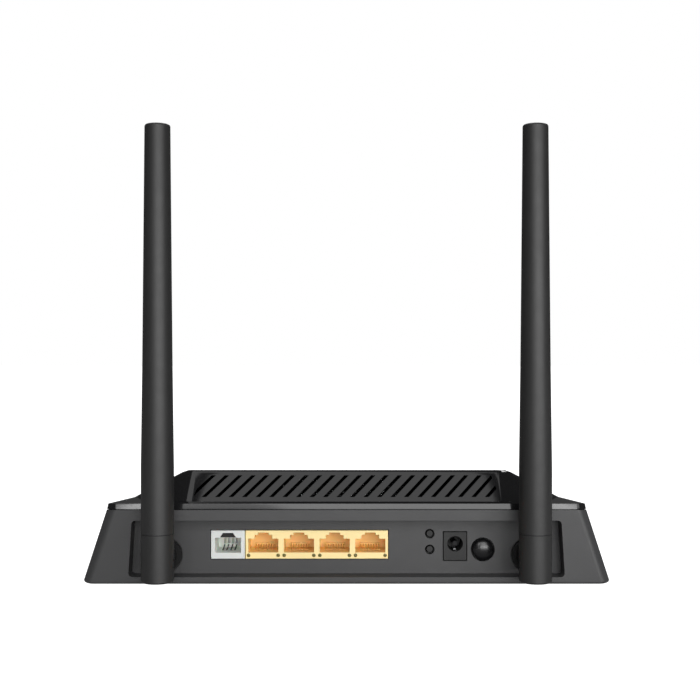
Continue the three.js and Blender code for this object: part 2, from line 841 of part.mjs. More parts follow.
/** A jack's body: the face that fills its window, and a seat behind the wall that meets the board. */
function jackBody([left, right], foot, head, depth) {
  const face = box([left, right], [jackFace, jackFace + depth], [foot, head]);
  return join(face, box([left, right], [behindWall, jackFace + depth], [onBoard, head]));
}

/** The right-hand corners of a port's stepped opening, about the port's own middle. */
function lanPortOutline(x) {
  const corners = lanPortHalfWidths.flatMap((half, step) => [
    [half, step === 0 ? lanPortFoot : lanPortHeads[step - 1]],
    [half, lanPortHeads[step]],
  ]);
  return mirrored(corners).map((p) => p.setX(p.x + x));
}

function lanJackHousing() {
  const along = [jackFace - 1, jackFace + portDepth];
  const ports = lanPorts.map((x) => prism('y', lanPortOutline(x), along));
  const lamps = lanPorts.flatMap((x) =>
    [-lampSpread, lampSpread].map((offset) =>
      rod('y', lampRadius, [jackFace - 1, jackFace + lampDepth], [x + offset, lampHeight], 8),
    ),
  );
  return cut(jackBody([lanLeft, lanRight], jackFoot, jackHead, jackDepth), ...ports, ...lamps);
}

/** A comb of sprung contacts on a common carrier at the back of a port. */
function contactComb(x, count, pitch, portFoot, rise) {
  const back = jackFace + portDepth - clearance;
  const front = jackFace + contactSetback;
  const carrier = back - contactCarrier;
  const foot = portFoot + clearance;
  const head = foot + rise;
  const half = ((count - 1) * pitch) / 2 + contactWidth;
  const fingers = Array.from({ length: count }, (_, i) => {
    const middle = x + (i - (count - 1) / 2) * pitch;
    const outline = [
      [front, foot],
      [carrier + contactRoot, head - contactThickness],
      [carrier + contactRoot, head],
      [front, foot + contactThickness],
    ];
    return prism('x', outline, [middle - contactWidth / 2, middle + contactWidth / 2]);
  });
  return join(box([x - half, x + half], [carrier, back], [foot, head + contactRoot]), ...fingers);
}

function phoneJackHousing() {
  const [notchFoot, notchHead] = phoneNotchHalfWidths;
  const outline = mirrored([
    [phonePortHalfWidth, phonePortFoot],
    [phonePortHalfWidth, phonePortHead],
    [notchFoot, phonePortHead],
    [notchHead, phoneNotchHead],
  ]).map((p) => p.setX(p.x + phonePort));
  const port = prism('y', outline, [jackFace - 1, jackFace + portDepth]);
  const slots = Array.from({ length: phoneContactCount }, (_, i) => {
    const x = phonePort + (i - (phoneContactCount - 1) / 2) * phoneContactPitch;
    return box(
      [x - phoneSlotWidth / 2, x + phoneSlotWidth / 2],
      [jackFace + portDepth - 1, jackFace + portDepth + phoneSlotDepth],
      [phonePortFoot, phoneSlotHead],
    );
  });
  return cut(jackBody([phoneLeft, phoneRight], jackFoot, jackHead, jackDepth), port, ...slots);
}

function powerJackHousing() {
  const hole = rod('y', inletHoleRadius, [jackFace - 1, jackFace + inletHoleDepth], inletHole, 28);
  return cut(jackBody([inletLeft, inletRight], inletFoot, inletHead, inletDepth), hole);
}

const powerJackPin = () =>
  rod(
    'y',
    inletPinRadius,
    [jackFace + inletPinSetback, jackFace + inletHoleDepth - clearance],
    inletHole,
    16,
  );

/** The leaf that presses on the outside of a plug's sleeve. */
function powerJackSpring() {
  const [x, z] = inletHole;
  const wall = z - inletHoleRadius + clearance;
  const tip = jackFace + inletSpringTip;
  const end = jackFace + inletHoleDepth - clearance;
  const outline = [
    [tip, wall],
    [end, wall],
    [end, wall + inletSpringThickness],
    [jackFace + inletSpringBend, wall + 2 * inletSpringThickness],
    [tip, wall + inletSpringThickness],
  ];
  return prism('x', outline, [x - inletSpringWidth / 2, x + inletSpringWidth / 2]);
}

// ---------------------------------------------------------------- buttons and switches

/** A domed cap whose apex points to -Y, drawn upright and then laid down. */
function domedCap(radius, apex, back, [x, z]) {
  const dome = powerButtonDome;
  const foot = apex + dome - back;
  const arc = Array.from({ length: powerButtonDomeSteps + 1 }, (_, i) => {
    const angle = (i / powerButtonDomeSteps) * (Math.PI / 2);
    return new THREE.Vector2(radius * Math.sin(angle), dome * Math.cos(angle));
  });
  const profile = [...arc, new THREE.Vector2(radius, foot), new THREE.Vector2(0, foot)];
  const geometry = new THREE.LatheGeometry(profile, 40);
  return solidOf(geometry.rotateX(Math.PI).translate(x, apex + dome, z));
}

/** The power button: a domed cap, a flange behind the wall and a square stem into the switch. */
function powerButtonPiece() {
  const [x, z] = powerButton;
  const radius = powerButtonRadius + 3 * buttonPlay;
  const flangeBack = behindWall + powerButtonFlange;
  const flange = rod('y', radius, [behindWall, flangeBack], powerButton, 32)
    .intersect(box([x - radius, x + radius], [behindWall, flangeBack], [onBoard, z + radius]));
  const half = powerStem / 2;
  const along = [behindWall, powerSwitchFront + powerStemReach];
  const stem = box([x - half, x + half], along, [z - half, z + half]);
  const apex = recessDepth - powerButtonProud;
  return join(domedCap(powerButtonRadius, apex, behindWall + clearance, powerButton), flange, stem);
}

function powerSwitchBody() {
  const [x, z] = powerButton;
  const half = powerStem / 2 + 2 * clearance;
  const body = box(
    [x - powerSwitchWidth / 2, x + powerSwitchWidth / 2],
    [powerSwitchFront, powerSwitchFront + powerSwitchDepth],
    [onBoard, onBoard + powerSwitchHeight],
  );
  const wellBack = powerSwitchFront + powerStemReach + powerTravel + powerSwitchSpare;
  return cut(body, box([x - half, x + half], [powerSwitchFront - 1, wellBack], [z - half, z + half]));
}

const smallStemEnd = behindWall + smallStemReach;
const smallSwitchFront = smallStemEnd + smallButtonTravel + clearance;

function smallButton(height) {
  const spot = [smallButtonX, height];
  return join(
    rod('y', smallButtonRadius, [recessDepth + smallButtonSetback, behindWall + clearance], spot),
    rod('y', smallButtonFlange, [behindWall, behindWall + smallButtonFlangeThickness], spot),
    rod('y', smallButtonRadius / 2, [behindWall, smallStemEnd], spot, 12),
  );
}

function smallSwitch(height) {
  const half = smallSwitchSize / 2;
  return box(
    [smallButtonX - half, smallButtonX + half],
    [smallSwitchFront, smallSwitchFront + smallSwitchDepth],
    [height - half, height + half],
  );
}

/** The small upright board that carries both push switches. */
function buttonBoard() {
  const front = smallSwitchFront + smallSwitchDepth + clearance;
  const half = smallSwitchSize / 2;
  const { left, right, top } = buttonBoardMargins;
  return box(
    [smallButtonX - half - left, smallButtonX + half + right],
    [front, front + buttonBoardThickness],
    [onBoard, smallButtonHeights.reset + half + top],
  );
}

// ---------------------------------------------------------------- antennas

const pivotY = -pivotBehind;

/** The piece that turns in the recess floor and holds the fold pin in its tongue. */
function swivelPiece(x) {
  const centre = [x, swivelHeight];
  const half = tongueThickness / 2;
  const face = recessDepth - swivelProud;
  const solid = join(
    rod('y', swivelRadius, [face, recessDepth + swivelLedge - clearance], centre, 32),
    rod('y', swivelShaftRadius, [recessDepth, swivelShaftReach], centre),
    rod('y', swivelNeckRadius, [face - swivelNeckReach, recessDepth], centre),
    box(
      [x - half, x + half],
      [pivotY, face],
      [swivelHeight - neckHalfHeight, swivelHeight + neckHalfHeight],
    ),
    rod('x', tongueRadius, [x - half, x + half], [pivotY, swivelHeight]),
  );
  return cut(
    solid,
    rod('x', hingePinRadius + clearance, [x - half - 1, x + half + 1], [pivotY, swivelHeight], 16),
    rod('y', coaxBoreRadius, [face - swivelNeckReach / 2, swivelShaftReach + 1], centre, 12),
  );
}

/** The ring that holds the swivel's shaft behind the recess floor. */
function swivelRetainer(x) {
  const along = [behindWall, behindWall + retainerThickness];
  const centre = [x, swivelHeight];
  return cut(
    rod('y', retainerRadius, along, centre),
    rod('y', swivelShaftRadius + clearance, [along[0] - 1, along[1] + 1], centre),
  );
}

const hingePin = (x) => {
  const half = knuckleRadius - clearance;
  return rod('x', hingePinRadius, [x - half, x + half], [pivotY, swivelHeight], 16);
};

/** The knuckle: a fork on the fold pin, with a spigot for the radome. */
function knuckle(x) {
  const reach = 2 * knuckleRadius;
  const half = tongueThickness / 2 + clearance;
  const across = [x - half, x + half];
  const bar = neckHalfHeight + clearance;
  const profile = [
    [0, knuckleFoot],
    [knuckleRadius - knuckleRounding, knuckleFoot],
    [knuckleRadius, knuckleFoot + knuckleRounding],
    [knuckleRadius, knuckleHead],
    [spigotRadius, knuckleHead],
    [spigotRadius, spigotHead],
    [0, spigotHead],
  ];
  return cut(
    turned(profile, [x, pivotY], 32),
    box(across, [pivotY, pivotY + reach], [swivelHeight - reach, swivelHeight + bar]),
    box(across, [pivotY - bar, pivotY + reach], [swivelHeight - reach, swivelHeight]),
    rod('x', tongueRadius + clearance, across, [pivotY, swivelHeight]),
    rod('x', hingePinRadius + clearance, [x - reach, x + reach], [pivotY, swivelHeight], 16),
  );
}

/** The hollow radome, straight above the knuckle and then tapering to a flat tip. */
function radome(x) {
  const foot = knuckleHead + clearance;
  const bore = spigotRadius + clearance;
  const [waistHeight, waistRadius] = antennaWaist;
  const shoulder = (antennaShoulder + waistHeight) / 2;
  const profile = [
    [bore, foot],
    [knuckleRadius, foot],
    [knuckleRadius, antennaShoulder],
    [(knuckleRadius + waistRadius) / 2, shoulder],
    [waistRadius, waistHeight],
    [antennaTipRadius, antennaHead - antennaTipRounding],
    [antennaTipRadius - antennaTipRounding / 3, antennaHead - antennaTipRounding / 3],
    [antennaTipRadius - antennaTipRounding, antennaHead],
    [0, antennaHead],
    [0, antennaHead - 2 * radomeWall],
    [antennaTipRadius - radomeWall, antennaHead - 2 * radomeWall],
    [waistRadius - radomeWall, waistHeight],
    [bore, antennaShoulder],
    [bore, foot],
  ];
  return turned(profile, [x, pivotY], 32);
}

/** The radiator: a strip of circuit board on a round plug above the spigot. */
function radiator(x) {
  const foot = spigotHead + clearance;
  const [half, thin] = [radiatorWidth / 2, radiatorThickness / 2];
  const along = [foot + radiatorPlugHeight - radiatorThickness, radiatorHead];
  return join(
    rod('z', spigotRadius - 1, [foot, foot + radiatorPlugHeight], [x, pivotY], 16),
    box([x - half, x + half], [pivotY - thin, pivotY + thin], along),
  );
}

/** The coaxial lead inside the case, from the swivel's shaft to its plug on the board. */
function coaxLead(side) {
  const [plugX, plugY] = coaxPlug;
  const start = swivelShaftReach + clearance;
  const plugHead = onBoard + coaxPlugSize + clearance;
  const [, , lastRise] = coaxRoute.at(-1);
  const points = [
    ...coaxRoute.map(([out, ahead, up]) => [antennaX + out, start + ahead, swivelHeight + up]),
    [plugX + coaxRadius, plugY - 2 * coaxDrop, swivelHeight + lastRise + 1],
    [plugX, plugY, plugHead + coaxDrop],
    [plugX, plugY, plugHead],
  ];
  const path = new THREE.CatmullRomCurve3(points.map(([x, y, z]) => new THREE.Vector3(side * x, y, z)));
  const section = new THREE.Shape().absarc(0, 0, coaxRadius, 0, 2 * Math.PI);
  return solidOf(
    new THREE.ExtrudeGeometry(section, { steps: 24, extrudePath: path, curveSegments: 4 }),
  );
}

const coaxPlugPiece = (side) =>
  boardBlock([side * coaxPlug[0], coaxPlug[1]], [coaxPlugSize, coaxPlugSize, coaxPlugSize]);

// ---------------------------------------------------------------- the assembly

const finishes = {
  caseBlack: { color: 0x2b2c2d, roughness: 0.55, metalness: 0 },
  coverGloss: { color: 0x1c1d1e, roughness: 0.18, metalness: 0 },
  antennaBlack: { color: 0x2a2b2c, roughness: 0.5, metalness: 0 },
  rubber: { color: 0x171717, roughness: 0.9, metalness: 0 },
  boardGreen: { color: 0x1f5a34, roughness: 0.5, metalness: 0 },
  lanYellow: { color: 0xf5d486, roughness: 0.45, metalness: 0 },
  phoneWhite: { color: 0xe4e6e2, roughness: 0.45, metalness: 0 },
  contactGold: { color: 0xc9a24a, roughness: 0.3, metalness: 1 },
  steel: { color: 0xa8abad, roughness: 0.35, metalness: 1 },
  buttonGloss: { color: 0x111111, roughness: 0.12, metalness: 0 },
  jackBlack: { color: 0x202020, roughness: 0.6, metalness: 0 },
  chipBlack: { color: 0x1a1a1c, roughness: 0.7, metalness: 0 },
  heatsinkGrey: { color: 0x8e9194, roughness: 0.4, metalness: 1 },
  windowSmoke: { color: 0x2e3236, roughness: 0.08, metalness: 0 },
  guideClear: { color: 0xd9dde0, roughness: 0.15, metalness: 0 },
};

const assembly = new THREE.Group();

/** Adds one named piece with a finish of its own. */
function add(name, solid, finish) {
  const mesh = new THREE.Mesh(geometryOf(solid), new THREE.MeshStandardMaterial(finishes[finish]));
  mesh.name = name;
  assembly.add(mesh);
}

add('bottom_case', bottomCase(), 'caseBlack');
add('top_cover', topCover(), 'coverGloss');
add('main_board', mainBoard(), 'boardGreen');
boardScrewSpots.forEach((spot, i) => add(`board_screw_${i + 1}`, boardScrew(spot), 'steel'));
caseScrewSpots.forEach((spot, i) => add(`case_screw_${i + 1}`, caseScrew(spot), 'steel'));
footSpots.forEach((spot, i) => add(`rubber_foot_${i + 1}`, rubberFoot(spot), 'rubber'));

add('phone_jack_housing', phoneJackHousing(), 'phoneWhite');
add(
  'phone_jack_contacts',
  contactComb(phonePort, phoneContactCount, phoneContactPitch, phonePortFoot, phoneContactRise),
  'contactGold',
);
add('lan_jack_housing', lanJackHousing(), 'lanYellow');
lanPorts.forEach((x, i) => {
  const comb = contactComb(x, lanContactCount, lanContactPitch, lanPortFoot, lanContactRise);
  add(`lan_contacts_${i + 1}`, comb, 'contactGold');
});
add('power_jack_housing', powerJackHousing(), 'jackBlack');
add('power_jack_pin', powerJackPin(), 'steel');
add('power_jack_spring', powerJackSpring(), 'steel');

add('power_button', powerButtonPiece(), 'buttonGloss');
add('power_switch_body', powerSwitchBody(), 'jackBlack');
Object.entries(smallButtonHeights).forEach(([name, height]) => {
  add(`${name}_button`, smallButton(height), 'jackBlack');
  add(`${name}_switch`, smallSwitch(height), 'steel');
});
add('button_board', buttonBoard(), 'boardGreen');

add('processor', boardBlock(processorSpot, processorSize), 'chipBlack');
add('processor_heatsink', processorHeatsink(), 'heatsinkGrey');
add('memory_chip', boardBlock(memorySpot, memorySize), 'chipBlack');
add('radio_shield_can', shieldCan(), 'steel');
add('line_transformer', lineTransformer(), 'chipBlack');
add('lan_magnetics', boardBlock(magneticsSpot, magneticsSize), 'chipBlack');
capacitorSpots.forEach((spot, i) => add(`capacitor_${i + 1}`, capacitor(spot), 'chipBlack'));
add('indicator_light_guide', lightGuide(), 'guideClear');
add('indicator_window', indicatorWindow(), 'windowSmoke');

swivels.forEach(({ side, x }) => {
  add(`${side}_swivel`, swivelPiece(x), 'antennaBlack');
  add(`${side}_swivel_retainer`, swivelRetainer(x), 'jackBlack');
  add(`${side}_hinge_pin`, hingePin(x), 'jackBlack');
  add(`${side}_antenna_knuckle`, knuckle(x), 'antennaBlack');
  add(`${side}_antenna_radome`, radome(x), 'antennaBlack');
  add(`${side}_antenna_radiator`, radiator(x), 'contactGold');
  add(`${side}_coax_lead`, coaxLead(Math.sign(x)), 'chipBlack');
  add(`${side}_coax_plug`, coaxPlugPiece(Math.sign(x)), 'contactGold');
});

const rearmost = pivotY - knuckleRadius;
assembly.position.set(0, -(rearmost + caseDepth) / 2, footProud);

const router = new THREE.Group();
router.add(assembly);

export default router;
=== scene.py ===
"""A desktop wireless router: finished pieces, materials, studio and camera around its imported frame.

Lengths in the dataclasses are in millimetres. Depths are counted forwards from the plane of the
case's connector side, and heights up from the case's underside.
"""

import json
import logging
import math
from collections.abc import Callable, Iterable, Sequence
from dataclasses import dataclass, field
from enum import Enum
from typing import Any, Protocol

import bmesh
import bpy
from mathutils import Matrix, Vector

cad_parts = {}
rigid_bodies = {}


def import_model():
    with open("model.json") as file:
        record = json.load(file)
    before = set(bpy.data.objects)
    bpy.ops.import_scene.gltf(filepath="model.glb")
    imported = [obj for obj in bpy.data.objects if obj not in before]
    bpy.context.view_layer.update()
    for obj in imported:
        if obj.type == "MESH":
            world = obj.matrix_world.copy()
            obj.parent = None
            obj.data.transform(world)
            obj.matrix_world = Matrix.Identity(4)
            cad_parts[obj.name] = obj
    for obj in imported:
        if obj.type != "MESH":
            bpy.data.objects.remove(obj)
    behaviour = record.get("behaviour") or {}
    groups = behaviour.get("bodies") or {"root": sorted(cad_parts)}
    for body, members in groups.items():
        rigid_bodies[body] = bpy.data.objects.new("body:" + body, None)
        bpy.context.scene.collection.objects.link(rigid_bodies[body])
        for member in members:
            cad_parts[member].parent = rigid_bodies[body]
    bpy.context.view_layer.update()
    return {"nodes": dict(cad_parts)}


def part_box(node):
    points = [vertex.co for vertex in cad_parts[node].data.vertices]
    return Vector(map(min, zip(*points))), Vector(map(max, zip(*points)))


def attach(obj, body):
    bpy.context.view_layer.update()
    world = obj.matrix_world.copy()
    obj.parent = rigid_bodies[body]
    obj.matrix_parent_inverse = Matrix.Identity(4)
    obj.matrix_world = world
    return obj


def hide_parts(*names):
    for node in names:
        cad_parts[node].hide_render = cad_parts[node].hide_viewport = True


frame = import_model()
log = logging.getLogger("router")

MM = 0.001
WELD = 1e-6  # vertices nearer than this, in metres, are one
FLAT = math.radians(0.4)  # faces that turn less than this are one flat face
TURNED_CREASE = math.radians(40)  # sharper edges of a turned piece stay sharp
RECIPE_CREASE = math.radians(35)  # the same for what a recipe makes

Rgb = tuple[float, float, float]


# -------- places


def middle(node: str) -> Vector:
    """The middle of a node's box."""
    low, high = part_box(node)
    return (Vector(low) + Vector(high)) / 2


@dataclass(frozen=True)
class Datum:
    """The planes that depths and heights are counted from."""

    rear: float
    underside: float

    @classmethod
    def of_case(cls) -> "Datum":
        """The datum of the lower case."""
        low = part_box("bottom_case")[0]
        return cls(low[1], low[2])

    def at(self, x: float, depth: float, height: float) -> Vector:
        """A point of the frame.

        Args:
            x: Sideways place, in millimetres.
            depth: Forwards from the connector side, in millimetres.
            height: Above the case's underside, in millimetres.

        Returns:
            The point in metres.
        """
        return Vector((x * MM, self.rear + depth * MM, self.underside + height * MM))


datum = Datum.of_case()


class Side(Enum):
    """The side of the case that an antenna stands on, with its direction along X."""

    LEFT = -1
    RIGHT = 1

    @property
    def label(self) -> str:
        """The side's word in node and body names."""
        return self.name.lower()


# -------- node trees


class NodeBench:
    """Short ways to add nodes to a tree and link them."""

    def __init__(self, tree: bpy.types.NodeTree) -> None:
        """Works on one tree."""
        self.tree = tree

    def link(self, source: Any, socket: bpy.types.NodeSocket) -> None:
        """Links a node or a socket to an input, or sets the input's own value.

        Args:
            source: A node, whose first output is taken, a socket, a list of those, or a value.
            socket: The input.
        """
        if isinstance(source, list):
            for part in source:
                self.link(part, socket)
        elif isinstance(source, bpy.types.Node):
            self.tree.links.new(source.outputs[0], socket)
        elif isinstance(source, bpy.types.NodeSocket):
            self.tree.links.new(source, socket)
        else:
            socket.default_value = source

    def add(self, kind: str, inputs: dict[str | int, Any] | None = None, **settings: Any) -> bpy.types.Node:
        """Adds a node.

        Args:
            kind: The node's type.
            inputs: Its inputs by name or number, each a value, a node or a socket.
            **settings: The node's own settings.

        Returns:
            The new node.
        """
        node = self.tree.nodes.new(kind)
        for key, value in settings.items():
            setattr(node, key, value)
        for key, value in (inputs or {}).items():
            self.link(value, node.inputs[key])
        return node


class SurfaceBench(NodeBench):
    """A material's tree, with the textures that the finishes share."""

    def __init__(self, name: str) -> None:
        """Starts a material with one Principled shader.

        Args:
            name: The material's name.
        """
        self.material = bpy.data.materials.new(name)
        self.material.use_nodes = True
        super().__init__(self.material.node_tree)
        self.shader = self.tree.nodes["Principled BSDF"]
        self.place = self.add("ShaderNodeTexCoord").outputs["Object"]

    def cloud(self, size: float, detail: float = 2.0, stretch: Rgb = (1, 1, 1)) -> bpy.types.NodeSocket:
        """Soft noise on the piece's own coordinates.

        Args:
            size: Width of its patches, in millimetres.
            detail: How many finer layers it has.
            stretch: How much finer it is along each axis.

        Returns:
            The noise's factor, from 0 to 1.
        """
        laid = self.add("ShaderNodeMapping", {"Vector": self.place, "Scale": stretch})
        scale = 1 / (size * MM)
        noise = self.add("ShaderNodeTexNoise", {"Vector": laid, "Scale": scale, "Detail": detail})
        return noise.outputs["Fac"]

    def between(self, factor: Any, low: float, high: float, start: float = 0.3, end: float = 0.7) -> Any:
        """A number that goes from low to high as the factor goes from start to end."""
        inputs = {"Value": factor, "From Min": start, "From Max": end, "To Min": low, "To Max": high}
        return self.add("ShaderNodeMapRange", inputs).outputs["Result"]

    def shades(self, factor: Any, first: Rgb, second: Rgb) -> bpy.types.NodeSocket:
        """A colour between two tones."""
        mix = self.add("ShaderNodeMix", {0: factor, 6: (*first, 1), 7: (*second, 1)}, data_type="RGBA")
        return mix.outputs[2]

    def relief(self, height: Any, depth: float, below: Any = None) -> bpy.types.NodeSocket:
        """A bumped normal.

        Args:
            height: The height's factor.
            depth: What a factor of 1 stands for, in millimetres.
            below: A coarser normal to bump further.

        Returns:
            The normal.
        """
        inputs = {"Height": height, "Distance": depth * MM, "Strength": 1.0}
        if below is not None:
            inputs["Normal"] = below
        return self.add("ShaderNodeBump", inputs).outputs["Normal"]

    def finish(self, **sockets: Any) -> bpy.types.Material:
        """Sets the shader's inputs.

        Args:
            **sockets: The inputs, named with _ for each space.

        Returns:
            The material.
        """
        for key, value in sockets.items():
            self.link(value, self.shader.inputs[key.replace("_", " ")])
        return self.material


def toned(tone: Rgb, share: float) -> Rgb:
    """A tone made lighter or darker by a share."""
    return tuple(channel * share for channel in tone)


# -------- finishes


class Finish(Protocol):
    """What every finish has: a name, the record's slot it belongs to, and a way to make it."""

    name: str
    slot: str

    def make(self) -> bpy.types.Material:
        """The finish's material."""


_made: dict[str, bpy.types.Material] = {}


def material_of(finish: Finish) -> bpy.types.Material:
    """Finds a finish's material, and makes it the first time.

    Args:
        finish: The finish.

    Returns:
        Its material.
    """
    if finish.name not in _made:
        _made[finish.name] = finish.make()
    return _made[finish.name]


@dataclass(frozen=True)
class MouldedFinish:
    """Moulded plastic or rubber: a fine eroded grain, and a little unevenness in tone and sheen."""

    name: str
    slot: str
    tone: Rgb
    roughness: float
    grain: float = 0.3
    grain_depth: float = 0.01
    mottle: float = 0.05
    through: float = 0.0  # share of light that goes on inside, as in pale plastic
    shine: float = 0.5  # strength of its reflections

    def make(self) -> bpy.types.Material:
        """Makes the moulded material.

        Returns:
            The material.
        """
        bench = SurfaceBench(self.name)
        colour = bench.shades(
            bench.between(bench.cloud(24, 3), 0, 1),
            toned(self.tone, 1 - self.mottle),
            toned(self.tone, 1 + self.mottle),
        )
        sheen = bench.between(bench.cloud(5, 2), self.roughness * 0.95, self.roughness * 1.06)
        sink = bench.relief(bench.cloud(30, 1), self.grain_depth * 4)
        grain = bench.relief(bench.cloud(self.grain, 2), self.grain_depth, sink)
        return bench.finish(
            Base_Color=colour,
            Roughness=sheen,
            Normal=grain,
            Subsurface_Weight=self.through,
            Subsurface_Scale=0.5 * MM,
            Specular_IOR_Level=self.shine,
        )


@dataclass(frozen=True)
class GlossFinish:
    """Polished plastic: a mirror skin with a faint long ripple and a trace of dust."""

    name: str
    slot: str
    tone: Rgb
    roughness: float
    ripple: float = 0.012
    dust: float = 0.06

    def make(self) -> bpy.types.Material:
        """Makes the glossy material.

        Returns:
            The material.
        """
        bench = SurfaceBench(self.name)
        colour = bench.shades(bench.cloud(40, 2), toned(self.tone, 0.92), toned(self.tone, 1.08))
        specks = bench.between(bench.cloud(1.1, 4), 0, self.dust, 0.58, 0.75)
        skin = bench.between(bench.cloud(30, 2), self.roughness * 0.8, self.roughness * 1.2)
        dusty = bench.add("ShaderNodeMath", {0: specks, 1: skin}, operation="ADD")
        return bench.finish(
            Base_Color=colour,
            Roughness=dusty,
            Normal=bench.relief(bench.cloud(18, 1), self.ripple),
        )


@dataclass(frozen=True)
class MetalFinish:
    """Plated or drawn metal with fine lines along one axis."""

    name: str
    slot: str
    tone: Rgb
    roughness: float
    lines: Rgb = (1, 14, 1)

    def make(self) -> bpy.types.Material:
        """Makes the metal material.

        Returns:
            The material.
        """
        bench = SurfaceBench(self.name)
        streak = bench.cloud(2.5, 4, self.lines)
        colour = bench.shades(bench.cloud(6, 2), toned(self.tone, 0.9), self.tone)
        sheen = bench.between(streak, self.roughness * 0.8, self.roughness * 1.3)
        return bench.finish(
            Base_Color=colour,
            Metallic=1.0,
            Roughness=sheen,
            Normal=bench.relief(streak, 0.004),
        )


@dataclass(frozen=True)
class LaminateFinish:
    """Printed circuit board: solder mask over tracks, with plated spots."""

    name: str
    slot: str
    mask: Rgb
    track: Rgb
    plating: Rgb = (0.62, 0.42, 0.16)
    cell: float = 5.0

    def make(self) -> bpy.types.Material:
        """Makes the board material.

        Returns:
            The material.
        """
        bench = SurfaceBench(self.name)
        scale = 1 / (self.cell * MM)
        inputs = {"Vector": bench.place, "Scale": scale, "Randomness": 0.35}
        tracks = bench.add("ShaderNodeTexVoronoi", inputs, feature="DISTANCE_TO_EDGE")
        lines = bench.between(tracks.outputs["Distance"], 1, 0, 0.03, 0.06)
        spots = bench.add("ShaderNodeTexVoronoi", {**inputs, "Scale": scale * 1.7})
        vias = bench.between(spots.outputs["Distance"], 1, 0, 0.1, 0.14)
        masked = bench.shades(lines, self.mask, self.track)
        colour = bench.add("ShaderNodeMix", {0: vias, 6: masked, 7: (*self.plating, 1)}, data_type="RGBA")
        return bench.finish(
            Base_Color=colour.outputs[2],
            Roughness=bench.between(bench.cloud(9, 2), 0.3, 0.42),
            Normal=bench.relief(lines, 0.03),
        )


@dataclass(frozen=True)
class ClearFinish:
    """Clear or smoked plastic that light goes through."""

    name: str
    slot: str
    tone: Rgb
    roughness: float
    clearness: float

    def make(self) -> bpy.types.Material:
        """Makes the clear material.

        Returns:
            The material.
        """
        bench = SurfaceBench(self.name)
        colour = bench.shades(bench.cloud(12, 2), toned(self.tone, 0.94), self.tone)
        return bench.finish(
            Base_Color=colour,
            Roughness=bench.between(bench.cloud(8, 3), self.roughness * 0.8, self.roughness * 1.3),
            Transmission_Weight=self.clearness,
            Normal=bench.relief(bench.cloud(14, 1), 0.008),
        )


@dataclass(frozen=True)
class FloorFinish:
    """A white studio table, brighter to the eye than for the light it gives."""

    name: str = "pale_table"
    slot: str = ""
    tone: Rgb = (0.35, 0.35, 0.35)
    glow: float = 0.05
    seen_glow: float = 1.2

    def make(self) -> bpy.types.Material:
        """Makes the table's material.

        Returns:
            The material.
        """
        bench = SurfaceBench(self.name)
        colour = bench.shades(bench.cloud(300, 3), toned(self.tone, 0.99), self.tone)
        seen = bench.add("ShaderNodeLightPath").outputs["Is Camera Ray"]
        return bench.finish(
            Base_Color=colour,
            Roughness=bench.between(bench.cloud(40, 3), 0.85, 0.95),
            Normal=bench.relief(bench.cloud(2, 3), 0.01),
            Emission_Color=(1, 1, 1, 1),
            Emission_Strength=bench.between(seen, self.glow, self.seen_glow, 0, 1),
        )


CASE = MouldedFinish("case_satin", "case_black", (0.037, 0.037, 0.038), 0.5)
ANTENNA = MouldedFinish("antenna_satin", "antenna_black", (0.014, 0.014, 0.014), 0.5)
COVER = GlossFinish("cover_polish", "cover_gloss", (0.008, 0.008, 0.0085), 0.08)
BUTTON = GlossFinish("button_polish", "button_gloss", (0.004, 0.004, 0.0045), 0.24)
RUBBER = MouldedFinish("foot_rubber", "foot_rubber", (0.014, 0.014, 0.014), 0.85, 0.5, 0.03)
LAN = MouldedFinish("port_yellow", "lan_yellow", (0.88, 0.70, 0.33), 0.42, through=0.05)
# painted shade: a deeper, more orange copy of the port yellow stands in for the shade inside the ports and
# on their spring carriers
LAN_PAINTED_SHADE = MouldedFinish("port_yellow_inside", "lan_yellow", (1.0, 0.66, 0.24), 0.5, through=0.3)
PHONE = MouldedFinish("line_socket_white", "phone_white", (0.62, 0.64, 0.62), 0.4, through=0.05)
# painted light: a lighter copy of the socket's white for its inside and wire carrier, standing in for light
# in the shaded hollow
PHONE_PAINTED_LIGHT = MouldedFinish("line_socket_grey", "phone_white", (0.80, 0.82, 0.76), 0.5, through=0.2)
# painted shade: near black, for the block that stands in for the shade in the socket's latch notch
LATCH_PAINTED_SHADE = MouldedFinish("latch_shade", "phone_white", (0.004, 0.004, 0.004), 0.7)
GOLD = MetalFinish("contact_gold", "contact_gold", (0.78, 0.52, 0.18), 0.3)
STEEL = MetalFinish("plated_steel", "plated_steel", (0.55, 0.56, 0.57), 0.32)
ALUMINIUM = MetalFinish("heatsink_aluminium", "heatsink_aluminium", (0.48, 0.49, 0.5), 0.4)
# painted shade: a near-black copy of the plated steel for the pin deep in the power inlet
INLET_PIN_PAINTED_SHADE = MetalFinish("inlet_pin", "plated_steel", (0.025, 0.025, 0.026), 0.5)
# painted shade: a near-black copy of the contact gold, so the phone wires read as the shaded slots behind
# them
PHONE_WIRE_PAINTED_SHADE = MetalFinish("line_wire", "contact_gold", (0.035, 0.033, 0.03), 0.45)
